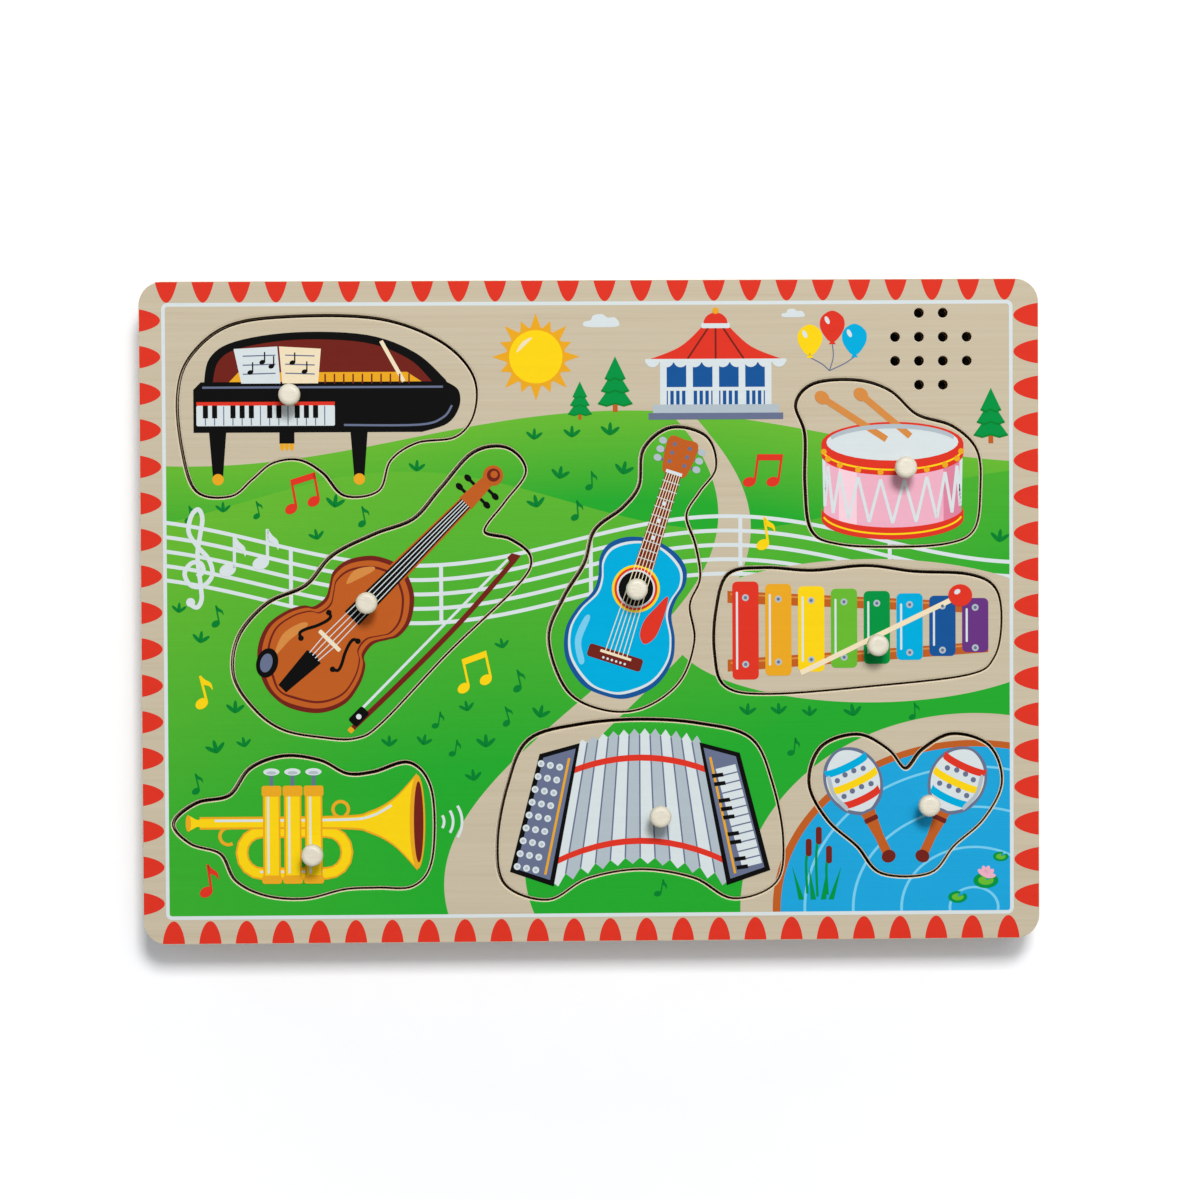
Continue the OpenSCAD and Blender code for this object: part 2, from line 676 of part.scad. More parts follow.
// Contact plates: one each at the left, and one across both cells at the right
module battery_contacts() {
    half = contact_w / 2;
    color("silver") {
        for (y = cell_y)
            block(bay_x, bay_x + contact_t, y - half, y + half, z_cell - half, z_cell + half);
        block(bay_end - contact_t, bay_end, cell_y[1] - half, cell_y[0] + half,
              z_cell - half, z_cell + half);
    }
}

// Battery door with finger grooves and a sunk hole for its captive screw
module battery_door() {
    color("dimgray") difference() {
        door_block(0, door_recess, z_core);
        disc([boss_x, box_mid_y], -cut, z_core + cut, small_screw_d + 4 * fit);
        disc([boss_x, box_mid_y], -cut, door_recess + small_head_h + run_gap, small_head_d + 2 * run_gap);
        for (k = [0 : grip_grooves - 1])
            translate([bay_x + grip_start + grip_pitch * k, box_mid_y, door_recess])
                cube([grip_pitch / 2, grip_len, 2 * grip_depth], center = true);
    }
}

module door_screw() {
    at = [boss_x, box_mid_y];
    z_head = door_recess + run_gap;
    color("silver") difference() {
        union() {
            disc(at, z_head, z_head + small_head_h, small_head_d);
            disc(at, z_head + small_head_h, door_screw_len, small_screw_d);
        }
        cross_recess(at, z_head, 0.55 * small_head_d, 0.6 * small_head_h);
    }
}

// Slide switch: a hollow body over the slot, and a slider whose knob reaches into the finger pocket
module switch_body() {
    half_len = channel_len / 2 + switch_wall;
    half_w = channel_w / 2 + switch_wall;
    color("black") translate([switch_at[0], switch_at[1], z_core]) difference() {
        block(-half_len, half_len, -half_w, half_w, 0, channel_h + switch_wall);
        cube([channel_len, channel_w, 2 * channel_h], center = true);
    }
}

module switch_slider() {
    z_slider = z_core + run_gap;
    color("white") translate([slider_x, switch_at[1], 0]) {
        block(-slider_len / 2, slider_len / 2, -slider_w / 2, slider_w / 2, z_slider, z_slider + slider_h);
        block(-knob_len / 2, knob_len / 2, -knob_w / 2, knob_w / 2, knob_recess, z_slider + slider_h / 2);
    }
}

face_panel();
floor_panel();
front_rail();
rear_rail();
left_rail();
right_rail();
support_blocks();
back_cover();
back_cover_screws();
for (k = [0 : len(NAMES) - 1]) {
    puzzle_piece(k);
    peg(k);
    light_sensor(k);
}
speaker_gasket();
speaker_basket();
speaker_surround();
speaker_cone();
speaker_magnet();
speaker_clips();
sound_board();
sound_chip();
board_parts();
board_spacers();
board_screws();
sensor_leads();
speaker_leads();
battery_leads();
battery_box();
upper_cell();
lower_cell();
battery_springs();
battery_contacts();
battery_door();
door_screw();
switch_body();
switch_slider();
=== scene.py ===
"""Looks of a wooden sound puzzle: printed board, pieces with pegs, and the works inside."""

import math
import random
from collections import namedtuple
from functools import cache

import bmesh
import bpy
from bpy.props import FloatProperty, FloatVectorProperty, IntProperty, PointerProperty
from mathutils import Matrix, Vector


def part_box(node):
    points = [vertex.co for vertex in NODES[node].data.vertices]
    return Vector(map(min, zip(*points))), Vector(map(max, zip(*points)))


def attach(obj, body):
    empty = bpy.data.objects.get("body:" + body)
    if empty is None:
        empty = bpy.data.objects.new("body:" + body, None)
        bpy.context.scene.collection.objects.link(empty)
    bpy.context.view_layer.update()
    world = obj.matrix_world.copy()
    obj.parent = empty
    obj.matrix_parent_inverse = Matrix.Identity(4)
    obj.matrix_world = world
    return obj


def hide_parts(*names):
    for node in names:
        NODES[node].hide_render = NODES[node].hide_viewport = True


bl_info = {
    "name": "Sound Puzzle",
    "version": (1, 0, 0),
    "blender": (4, 5, 0),
    "location": "View3D > Sidebar > Sound Puzzle",
    "description": "Dresses a peg puzzle with sounds: wood, print, pegs, speaker and battery bay",
    "category": "Object",
}

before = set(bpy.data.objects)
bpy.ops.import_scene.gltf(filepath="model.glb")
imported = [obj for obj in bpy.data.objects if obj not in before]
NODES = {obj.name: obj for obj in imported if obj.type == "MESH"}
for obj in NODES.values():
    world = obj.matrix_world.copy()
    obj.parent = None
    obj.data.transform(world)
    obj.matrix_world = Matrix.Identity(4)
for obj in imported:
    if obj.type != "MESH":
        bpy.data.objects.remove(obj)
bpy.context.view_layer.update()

# Places read from the frame, in metres; drawings below are in millimetres from the board's middle
MM = 0.001
INSTRUMENTS = ("piano", "violin", "guitar", "drum", "xylophone", "trumpet", "accordion", "maracas")
FACE_LOW, FACE_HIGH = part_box("face_panel")
FLOOR_LEVEL = FACE_LOW.z
TOP_LEVEL = FACE_HIGH.z
HALF_W = FACE_HIGH.x
HALF_D = FACE_HIGH.y
BACK_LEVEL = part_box("back_cover")[0].z

# How level a flat face is, how close points are merged, how sharp a corner an inset follows, and how finely
# round shapes are cut
FLAT_ROOM = 0.01 * MM
MERGE_ROOM = 0.001 * MM
LEAST_SQUARE = 0.5
EASE_STEPS = 5
MARK_POINTS = 17


def middle(node):
    """Middle of a node's box."""
    low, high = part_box(node)
    return (low + high) / 2


PEG_TOPS = {name: tuple(value / MM for value in middle(f"{name}_peg")[:2]) for name in INSTRUMENTS}


# What a user may change


def number(name, description, default, **kind):
    """A number property."""
    return FloatProperty(name=name, description=description, default=default, **kind)


def numbers(name, description, *default, **kind):
    """A property of several numbers."""
    return FloatVectorProperty(name=name, description=description, size=len(default), default=default,
                               **kind)


def length(name, description, millimetres):
    """A length property, given in millimetres and kept in metres."""
    return number(name, description, millimetres * MM, unit="LENGTH", precision=5)


def place(name, description, *millimetres):
    """A place or several sizes on the board, given in millimetres and kept in metres."""
    return numbers(name, description, *[value * MM for value in millimetres], unit="LENGTH", subtype="XYZ")


def colour(name, description, *steps):
    """A display colour, given in steps of 255."""
    return numbers(name, description, *[step / 255 for step in steps], min=0.0, max=1.0,
                   subtype="COLOR_GAMMA")


def studio_place(name, description, *metres):
    """A place in the studio, in metres."""
    return numbers(name, description, *metres, unit="LENGTH", subtype="TRANSLATION")


class PuzzleSizes(bpy.types.PropertyGroup):
    """Sizes of the eased edges and of the print."""

    piece_round: length("Piece edge", "Rounding of a piece's top edge", 0.8)
    recess_round: length("Recess edge", "Rounding of the top edge of a cut-out", 0.8)
    rim_round: length("Board edge", "Rounding of the board's outer edge", 0.2)
    hole_round: length("Sound hole edge", "Rounding of a sound hole", 0.35)
    piece_lift: length("Piece lift", "Room under a piece for the print in its recess", 0.2)
    film_height: length("Print height", "Height of the lowest ink film over the wood", 0.03)
    film_step: length("Print step", "Height that each ink layer adds", 0.02)
    film_lap: length("Print lap", "Height that each later shape of a layer adds", 0.0002)
    film_root: length("Print root", "Depth that an ink film reaches into the wood", 0.02)
    marks_long: IntProperty(name="Marks on a long side", description="Border marks on a long side",
                            default=24, min=2)
    marks_short: IntProperty(name="Marks on a short side", description="Border marks on a short side",
                             default=17, min=2)
    mark_pitch: length("Mark pitch", "Distance between border marks", 12.15)
    mark_width: place("Mark width", "Width of a mark on the front, right, back and left edges",
                      7.4, 8, 7.4, 7.4)
    mark_depth: place("Mark depth", "Length of a mark inwards from each of these edges", 7.6, 8.2, 6.9, 7.0)
    mark_shift: place("Mark shift", "Shift of the marks along each of these edges", -0.17, 1.1, 1.04, -0.38)
    mark_taper: numbers("Mark taper", "How slender the marks on these edges are, 1 for an oval",
                        1.3, 1.5, 1.9, 1.55, min=0.5)
    print_shift: place("Print shift", "How far the white line is printed off the middle", -0.545, 0.555)
    line_inset: place("Line inset", "Mean distance of the white line from the ends and sides", 8.7, 8.3)
    line_width: length("Line width", "Width of the white line", 1.2)
    line_round: length("Line corner", "Corner radius of the white line", 1.5)
    # Place and width of the dark line on a recess floor, painted shade under the gap round its piece
    shade_inset: length("Shade inset", "Middle of the dark line in a recess from its piece's edge", 0.5)
    shade_width: length("Shade width", "Width of the dark line round the floor of a recess", 2.4)


class PictureLayout(bpy.types.PropertyGroup):
    """Hills, path, terrace, lake and staff of the printed park, from the middle of the board."""

    far_mean: length("Far hills", "Mean height of the far hills", 58)
    far_rise: length("Far hills' rise", "Rise of the far hills over their mean", 9)
    far_crest: length("Far crest", "Place of a crest of the far hills", 12)
    far_wave: length("Far wave", "Length of the far hills' wave", 290)
    near_mean: length("Near hill", "Mean height of the near hill", 37)
    near_rise: length("Near hill's rise", "Rise of the near hill over its mean", 10)
    near_crest: length("Near crest", "Place of a crest of the near hill", -62)
    near_wave: length("Near wave", "Length of the near hill's wave", 215)
    path_mean: length("Path middle", "Mean place of the path across the board", 6)
    path_rise: length("Path swing", "Swing of the path to either side", 42)
    path_crest: length("Path crest", "Height at which the path swings furthest right", 30)
    path_wave: length("Path wave", "Length of the path's wave", 238)
    path_head: length("Path at its head", "Half width of the path at the far hills", 3.5)
    path_foot: length("Path at its foot", "Half width of the path at the front", 15)
    terrace_at: place("Terrace", "Middle of the bare terrace", 94, -7)
    terrace_size: place("Terrace size", "Half width and half depth of the terrace", 67, 24)
    lake_at: place("Lake", "Middle of the lake", 128, -100)
    lake_size: place("Lake size", "Half width and half depth of the lake", 65, 54)
    lake_rim: length("Lake rim", "Width of the brown rim of the lake", 2.2)
    lake_bank: length("Lake bank", "Width of the bare bank of the lake", 9)
    staff_mean: length("Staff", "Mean height of the staff's middle line", 14)
    staff_rise: length("Staff rise", "Rise of the staff over its mean", 8)
    staff_crest: length("Staff crest", "Place of a crest of the staff", 45)
    staff_wave: length("Staff wave", "Length of the staff's wave", 205)
    staff_gap: length("Staff gap", "Distance between two lines of the staff", 4.8)
    staff_line: length("Staff line", "Width of a line of the staff", 1.3)
    bar_gap: length("Bar gap", "Distance between two bar lines of the staff", 50)


class PuzzleColours(bpy.types.PropertyGroup):
    """Inks and woods."""

    birch_light: colour("Birch, light", "Pale streaks of the face wood", 206, 194, 170)
    birch_dark: colour("Birch, dark", "Darker streaks of the face wood", 197, 184, 159)
    # Bare wood of the eased edges, painted paler than the face wood as a highlight on the rounded edges
    rim: colour("Rim", "Bare wood of the eased edges", 240, 226, 198)
    edge_light: colour("Edge, light", "Pale layers of the board's edge", 226, 206, 174)
    edge_dark: colour("Edge, dark", "Dark layers of the board's edge", 176, 140, 98)
    # Layers of the cut sides inside the board and round the pieces: a browned cut, made darker still as
    # painted shade of the narrow gaps
    shaded_cut_pale: colour("Saw cut, light", "Pale layers of the browned saw cuts", 138, 104, 70)
    shaded_cut_dark: colour("Saw cut, dark", "Dark layers of the browned saw cuts", 88, 61, 38)
    # Painted shade: the dark line on the floor of each recess, under the gap round its piece
    shade: colour("Shade", "Dark line round the floor of a recess", 50, 37, 28)
    edge_rail: colour("Rail, dark", "Darker streaks of the rails", 200, 166, 122)
    peg_light: colour("Peg, light", "Pale streaks of the pegs", 232, 226, 209)
    peg_dark: colour("Peg, dark", "Darker streaks of the pegs", 217, 208, 188)
    lime: colour("Lime", "Far hills and lit grass", 104, 184, 50)
    green: colour("Green", "Grass", 36, 168, 46)
    leaf: colour("Leaf", "Tufts and notes on the grass", 8, 128, 48)
    tree: colour("Tree", "Tree crowns", 4, 146, 66)
    water: colour("Water", "Lake", 30, 164, 218)
    ripple: colour("Ripple", "Rings on the lake", 122, 204, 236)
    white: colour("White", "White ink", 216, 225, 227)
    cream: colour("Cream", "Cream ink", 240, 224, 190)
    red: colour("Red", "Red ink", 222, 54, 38)
    maroon: colour("Maroon", "Dark red ink", 112, 36, 28)
    brown: colour("Brown", "Chestnut ink", 190, 94, 36)
    tan: colour("Tan", "Light brown ink", 214, 140, 70)
    gold: colour("Gold", "Gold ink", 234, 168, 36)
    yellow: colour("Yellow", "Yellow ink", 250, 212, 22)
    blue: colour("Blue", "Bright blue ink", 0, 172, 220)
    navy: colour("Navy", "Dark blue ink", 24, 84, 150)
    slate: colour("Slate", "Grey blue ink", 104, 114, 142)
    grey: colour("Grey", "Light grey ink", 178, 190, 198)
    pink: colour("Pink", "Pink ink", 238, 176, 196)
    blush: colour("Blush", "Palest pink ink", 247, 208, 220)
    rose: colour("Rose", "Deeper pink ink", 222, 132, 160)
    purple: colour("Purple", "Purple ink", 104, 54, 128)
    black: colour("Black", "Black ink", 12, 12, 12)


class StudioSetup(bpy.types.PropertyGroup):
    """Camera, lamps and floor."""

    camera_at: studio_place("Camera", "Place of the camera", -0.02406, 0.03497, 1.22088)
    camera_turn: numbers("Camera turn", "Turn of the camera", *map(math.radians, (-1.482, -1.300, -0.295)),
                         unit="ROTATION", subtype="EULER")
    camera_lens: number("Lens", "Focal length", 107.75, unit="CAMERA")
    camera_sensor: number("Sensor", "Width of the camera's sensor", 36.0, unit="CAMERA")
    key_at: studio_place("Key lamp", "Place of the main lamp", 0.18, 0.99, 2.2)
    key_power: number("Key power", "Power of the main lamp", 35.2, unit="POWER")
    key_size: number("Key size", "Side of the main lamp", 0.5, unit="LENGTH")
    side_at: studio_place("Side lamp", "Place of the weaker lamp", 0.5, 0.75, 2.1)
    side_power: number("Side power", "Power of the weaker lamp", 9.0, unit="POWER")
    side_size: number("Side size", "Side of the weaker lamp", 0.8, unit="LENGTH")
    fill_level: number("Fill", "Strength of the light from all round", 0.29, subtype="FACTOR")
    floor_half: number("Floor", "Half width of the floor", 4.0, unit="LENGTH")
    floor_gap: length("Floor gap", "Gap between the back cover and the floor", 0.1)
    floor_glow: number("Floor glow", "Cool light that the floor adds for the camera", 0.09,
                       subtype="FACTOR")
    floor_fade: numbers("Floor fade", "Distances over which the floor turns white", 0.17, 0.9,
                        unit="LENGTH")


def sizes():
    """The sizes of this scene's puzzle."""
    return bpy.context.scene.puzzle_sizes


def layout():
    """The printed picture's layout."""
    return bpy.context.scene.puzzle_layout


def linear(value):
    """A display value from 0 to 1 as linear light."""
    if value <= 0.04045:
        return value / 12.92
    return ((value + 0.055) / 1.055) ** 2.4


def lit(values):
    """A display colour as a linear colour with alpha."""
    return [linear(value) for value in values] + [1.0]


def paint(name):
    """A named ink or wood as a linear colour with alpha."""
    return lit(getattr(bpy.context.scene.puzzle_colours, name))


# Node helpers


class Signal:
    """An output of a node; arithmetic on signals adds math nodes, and | joins two masks."""

    def __init__(self, node, output=0):
        self.node = node
        self.output = output
        self.tree = node.id_data

    def __add__(self, other):
        return calc("ADD", self, other)

    def __sub__(self, other):
        return calc("SUBTRACT", self, other)

    def __rsub__(self, other):
        return calc("SUBTRACT", other, self)

    def __mul__(self, other):
        return calc("MULTIPLY", self, other)

    def __truediv__(self, other):
        return calc("DIVIDE", self, other)

    def __lt__(self, other):
        return calc("LESS_THAN", self, other)

    def __gt__(self, other):
        return calc("GREATER_THAN", self, other)

    def __or__(self, other):
        return calc("MAXIMUM", self, other)

    def __abs__(self):
        return calc("ABSOLUTE", self)


def feed(node, inputs):
    """Sets a node's inputs, or links them where signals are given, and gives the node."""
    for key, value in inputs.items():
        if isinstance(value, Signal):
            node.id_data.links.new(value.node.outputs[value.output], node.inputs[key])
        else:
            node.inputs[key].default_value = value
    return node


def put(tree, kind, inputs=None, **settings):
    """Adds a node with its settings and inputs, and gives the node."""
    node = tree.nodes.new(kind)
    for key, value in settings.items():
        setattr(node, key, value)
    return feed(node, inputs or {})


def out_of(tree, kind, inputs=None, output=0, **settings):
    """Adds a node and gives one of its outputs."""
    return Signal(put(tree, kind, inputs, **settings), output)


def calc(operation, *values):
    """A math node on signals and numbers."""
    tree = next(value.tree for value in values if isinstance(value, Signal))
    return out_of(tree, "ShaderNodeMath", dict(enumerate(values)), operation=operation)


def mixed(factor, first, second):
    """A colour between two colours."""
    return out_of(factor.tree, "ShaderNodeMix", {0: factor, 6: first, 7: second}, 2, data_type="RGBA")


def noise(vector, scale, detail=2.0, distortion=0.0):
    """A noise value."""
    inputs = {"Vector": vector, "Scale": scale, "Detail": detail, "Distortion": distortion}
    return out_of(vector.tree, "ShaderNodeTexNoise", inputs)


def axes(vector):
    """The three parts of a vector."""
    node = put(vector.tree, "ShaderNodeSeparateXYZ", {0: vector})
    return [Signal(node, axis) for axis in range(3)]


def triple(tree, x=0.0, y=0.0, z=0.0):
    """A vector of three values."""
    return out_of(tree, "ShaderNodeCombineXYZ", {0: x, 1: y, 2: z})


def stretched(vector, along, across):
    """A vector scaled by one number along X and by another across it."""
    scale = triple(vector.tree, along, across, across)
    return out_of(vector.tree, "ShaderNodeVectorMath", {0: vector, 1: scale}, operation="MULTIPLY")


def spread(value, low, high):
    """A value mapped from a range to 0 to 1, clamped."""
    return out_of(value.tree, "ShaderNodeMapRange", {0: value, 1: low, 2: high}, clamp=True)


def hypotenuse(across, deep):
    """The length of two parts at a right angle."""
    return calc("SQRT", across * across + deep * deep)


def from_whole(value):
    """Distance of a value from the nearest whole number."""
    return abs(value - calc("ROUND", value))


SOCKETS = {"value": "NodeSocketFloat", "colour": "NodeSocketColor", "vector": "NodeSocketVector",
           "mesh": "NodeSocketGeometry", "count": "NodeSocketInt", "object": "NodeSocketObject",
           "material": "NodeSocketMaterial"}


def node_group(name, inputs, outputs, kind="ShaderNodeTree"):
    """A new node group with named sockets: its inputs by name, and its output node."""
    tree = bpy.data.node_groups.new(name, kind)
    for title, socket in inputs.items():
        tree.interface.new_socket(title, in_out="INPUT", socket_type=SOCKETS[socket])
    for title, socket in outputs.items():
        tree.interface.new_socket(title, in_out="OUTPUT", socket_type=SOCKETS[socket])
    entry = tree.nodes.new("NodeGroupInput")
    given = {title: Signal(entry, title) for title in inputs}
    return given, tree.nodes.new("NodeGroupOutput")


def titled(values):
    """Values by the names of their sockets, from names in lower case with underscores."""
    return {key.replace("_", " ").title(): value for key, value in values.items()}


def finish_group(out, **results):
    """Links results to a group's outputs and gives its tree."""
    return feed(out, titled(results)).id_data


def use(tree, group, **inputs):
    """Places a shader group with its inputs and gives its outputs."""
    node = feed(put(tree, "ShaderNodeGroup", node_tree=group), titled(inputs))
    return [Signal(node, index) for index in range(len(node.outputs))]


# Shader groups, each built once


@cache
def wood_grain():
    """Streaks of wood along X."""
    given, out = node_group("Wood grain", {"Vector": "vector", "Light": "colour", "Dark": "colour",
                                           "Along": "value", "Across": "value"},
                            {"Color": "colour", "Height": "value"})
    long = stretched(given["Vector"], given["Along"], given["Across"])
    streaks = noise(long, 1.0, detail=5.0, distortion=0.5)
    broad = noise(long, 0.16, distortion=0.8)
    pores = spread(noise(long, 2.6, detail=1.0), 0.62, 0.7)
    tone = spread(streaks * 0.6 + broad * 0.4, 0.3, 0.7) - pores * 0.35
    shade = mixed(calc("MAXIMUM", tone, 0.0), given["Dark"], given["Light"])
    return finish_group(out, color=shade, height=streaks - pores)


@cache
def ply_layers():
    """Layers of plywood on a cut edge, stacked along Z, with thin glue lines."""
    given, out = node_group("Ply layers", {"Vector": "vector", "Light": "colour", "Dark": "colour",
                                           "Layer": "value"}, {"Color": "colour"})
    height = axes(given["Vector"])[2]
    ripple = noise(given["Vector"], 900.0, detail=3.0)
    turns = height / given["Layer"] + ripple * 0.25
    glue = abs(calc("FRACT", turns) - 0.5) > 0.44
    other = calc("FRACT", turns * 0.5) > 0.5
    tone = other * 0.35 + ripple * 0.3 + glue * 0.45
    return finish_group(out, color=mixed(calc("MINIMUM", tone, 1.0), given["Light"], given["Dark"]))


@cache
def ink_film():
    """Printed ink: slight mottle, and wood grain that shows through as relief."""
    given, out = node_group("Ink film", {"Vector": "vector", "Color": "colour"},
                            {"Color": "colour", "Roughness": "value", "Height": "value"})
    mottle = noise(given["Vector"], 520.0, detail=4.0)
    long = stretched(given["Vector"], 16.0, 620.0)
    grain = noise(long, 1.0, detail=4.0, distortion=0.4)
    tone = mottle * 0.05 + grain * 0.07 + 0.94
    shade = out_of(tone.tree, "ShaderNodeVectorMath", {0: given["Color"], 3: tone}, operation="SCALE")
    return finish_group(out, color=shade, roughness=mottle * 0.16 + 0.36, height=grain)


@cache
def speckle():
    """Two close colours in fine specks, for plastics, hardboard and metals."""
    given, out = node_group("Speckle", {"Vector": "vector", "Light": "colour", "Dark": "colour",
                                        "Scale": "value"}, {"Color": "colour", "Height": "value"})
    fine = noise(given["Vector"], given["Scale"], detail=3.0)
    broad = noise(given["Vector"], given["Scale"] * 0.08)
    shade = mixed(spread(fine * 0.7 + broad * 0.3, 0.35, 0.65), given["Dark"], given["Light"])
    return finish_group(out, color=shade, height=fine)


@cache
def wave_line():
    """Mean + rise x cosine of the distance from a crest."""
    given, out = node_group("Wave line", {"Along": "value", "Mean": "value", "Rise": "value",
                                          "Crest": "value", "Wave": "value"}, {"Level": "value"})
    turns = (given["Along"] - given["Crest"]) / given["Wave"]
    swing = calc("COSINE", turns * math.tau)
    return finish_group(out, level=calc("MULTIPLY_ADD", swing, given["Rise"], given["Mean"]))


@cache
def oval_field():
    """Distance from an oval's middle, 1 on the oval itself."""
    given, out = node_group("Oval field", {"X": "value", "Y": "value", "Half Width": "value",
                                           "Half Depth": "value"}, {"Field": "value"})
    field = hypotenuse(given["X"] / given["Half Width"], given["Y"] / given["Half Depth"])
    return finish_group(out, field=field)


def wave_sizes(name):
    """Mean, rise, crest and length of a wave of the layout."""
    return {part: getattr(layout(), f"{name}_{part}") for part in ("mean", "rise", "crest", "wave")}


def oval_sizes(name):
    """Middle and half sizes of an oval of the layout."""
    return getattr(layout(), f"{name}_at"), getattr(layout(), f"{name}_size")


@cache
def park_picture():
    """The printed park: hills, path, terrace, lake, staff and the white line. Ink is 0 on bare wood."""
    plan = layout()
    measure = sizes()
    given, out = node_group("Park picture", {"Vector": "vector"}, {"Color": "colour", "Ink": "value"})
    tree = out.id_data
    x, y, _ = axes(given["Vector"])
    lime, green, white = paint("lime"), paint("green"), paint("white")

    def wave_of(name, along):
        return use(tree, wave_line(), along=along, **wave_sizes(name))[0]

    def oval_of(name):
        at, half = oval_sizes(name)
        return use(tree, oval_field(), x=x - at[0], y=y - at[1], half_width=half[0], half_depth=half[1])[0]

    # White line with rounded corners, and the area inside it
    corner = measure.line_round
    past = []
    for value, half, gap, shift in zip((x, y), (HALF_W, HALF_D), measure.line_inset, measure.print_shift):
        past.append(calc("MAXIMUM", abs(value - shift) - (half - gap - corner), 0.0))
    edge = hypotenuse(*past) - corner
    line = abs(edge) < measure.line_width / 2
    inside = edge < 0.0

    # Far hills and near hill, greener away from their crests and to the right
    far = wave_of("far", x)
    near = wave_of("near", x)
    depth = spread(near - y, 0.0, 0.1) + spread(x, -0.16, 0.2)
    meadow = mixed(spread(depth, 0.1, 1.3), lime, green)
    far_shade = mixed(spread(far - y, 0.0, 0.03), lime, green)
    shade = mixed(y < near, far_shade, meadow)

    # Path, terrace and the lake's bank are bare wood
    down = spread(y, plan.far_mean, -HALF_D)
    path_half = calc("MULTIPLY_ADD", down, plan.path_foot - plan.path_head, plan.path_head)
    on_path = abs(x - wave_of("path", y)) < path_half
    terrace = oval_of("terrace")
    lake = oval_of("lake")
    rim = 1 + plan.lake_rim / plan.lake_size[1]
    bank = rim + plan.lake_bank / plan.lake_size[1]
    bare = on_path | (terrace < 1.0) | (lake < bank)
    ink = (y < far) * (1.0 - bare)

    # Staff of five lines with bar lines, two lines above and two below the middle one
    outer_line = 2
    above = (y - wave_of("staff", x)) / plan.staff_gap
    half_line = plan.staff_line / plan.staff_gap / 2
    lines = (from_whole(above) < half_line) * (abs(above) < outer_line + 0.5)
    bars = from_whole(x / plan.bar_gap) < plan.staff_line / plan.bar_gap / 2
    staff = (lines | bars * (abs(above) < outer_line + half_line)) * (terrace > 1.0)
    shade = mixed(staff, shade, white)
    ink = ink | staff

    # Lake with its rim and rings
    rings = 4.0
    ring_half = 0.028
    on_rim = lake < rim
    on_ring = abs(calc("FRACT", lake * rings) - 0.5) < ring_half
    shade = mixed(on_rim, shade, paint("brown"))
    shade = mixed(lake < 1.0, shade, mixed(on_ring, paint("water"), paint("ripple")))

    ink = (ink | on_rim) * inside | line
    return finish_group(out, color=mixed(line, shade, white), ink=ink)


# Materials


def new_material(name):
    """A material with one Principled shader: the material, its tree, the shader and Object coordinates."""
    made = bpy.data.materials.new(name)
    made.use_nodes = True
    tree = made.node_tree
    tree.nodes.clear()
    shader = tree.nodes.new("ShaderNodeBsdfPrincipled")
    put(tree, "ShaderNodeOutputMaterial", {"Surface": Signal(shader)})
    return made, tree, shader, out_of(tree, "ShaderNodeTexCoord", output="Object")


def relief(height, depth, strength):
    """The normal of a bump, from a height that is a depth in metres at full value."""
    inputs = {"Strength": strength, "Distance": depth, "Height": height}
    return out_of(height.tree, "ShaderNodeBump", inputs)


def facing_up(tree):
    """How far a face looks up, from -1 to 1."""
    return axes(out_of(tree, "ShaderNodeNewGeometry", output="True Normal"))[2]


@cache
def ink_material(name):
    """An ink film on wood."""
    made, tree, shader, vector = new_material(f"ink_{name}")
    shade, rough, height = use(tree, ink_film(), vector=vector, color=paint(name))
    feed(shader, {"Base Color": shade, "Roughness": rough, "Specular IOR Level": 0.02,
                  "Normal": relief(height, depth=0.03 * MM, strength=0.5)})
    return made


# Width of the outer rim whose sides keep the plain ply layers, while the other cut sides take darker layers
# as painted shade; how far level and eased faces look up, and how much rougher bare wood is than ink
OUTER_RIM = 3.0 * MM
LEVEL_FACE = 0.85
EASED_FACE = (0.15, 0.4)
BARE_ROUGHER = 0.1


@cache
def printed_birch():
    """Birch plywood: the printed park over level faces, eased edges painted pale as a highlight, and layers
    on the sides, darkened as painted shade in the cuts.
    """
    made, tree, shader, vector = new_material("printed_birch")
    wood, grain = use(tree, wood_grain(), vector=vector, light=paint("birch_light"),
                      dark=paint("birch_dark"), along=9.0, across=760.0)
    x, y, _ = axes(vector)
    # Sides away from the outer rim take the darkened cut layers, painted shade of the gaps between pieces
    # and board
    outer = calc("MAXIMUM", abs(x) - HALF_W, abs(y) - HALF_D) > -OUTER_RIM
    layers = use(tree, ply_layers(), vector=vector, layer=1.0 * MM,
                 light=mixed(outer, paint("shaded_cut_pale"), paint("edge_light")),
                 dark=mixed(outer, paint("shaded_cut_dark"), paint("edge_dark")))[0]
    picture, ink = use(tree, park_picture(), vector=vector)
    film, rough, film_grain = use(tree, ink_film(), vector=vector, color=picture)
    upright = facing_up(tree)
    level = upright > LEVEL_FACE
    # Eased faces take the pale rim colour, a painted highlight on the rounded edges
    eased = mixed(level, paint("rim"), wood)
    bare = mixed(spread(upright, *EASED_FACE), layers, eased)
    printed = ink * level
    rough = rough + (1.0 - printed) * BARE_ROUGHER
    feed(shader, {"Base Color": mixed(printed, bare, film), "Roughness": rough, "Specular IOR Level": 0.03,
                  "Normal": relief(grain + film_grain, depth=0.03 * MM, strength=0.5)})
    return made


def plain_wood(name, light, dark, along, across, rough, turn=0):
    """Bare wood with its grain along X, or turned from X by an angle in degrees."""
    made, tree, shader, vector = new_material(name)
    turned = out_of(tree, "ShaderNodeVectorRotate", {"Vector": vector, "Angle": math.radians(turn)},
                    rotation_type="Z_AXIS")
    shade, height = use(tree, wood_grain(), vector=turned, light=paint(light), dark=paint(dark),
                        along=along, across=across)
    feed(shader, {"Base Color": shade, "Roughness": rough,
                  "Normal": relief(height, depth=0.05 * MM, strength=0.6)})
    return made


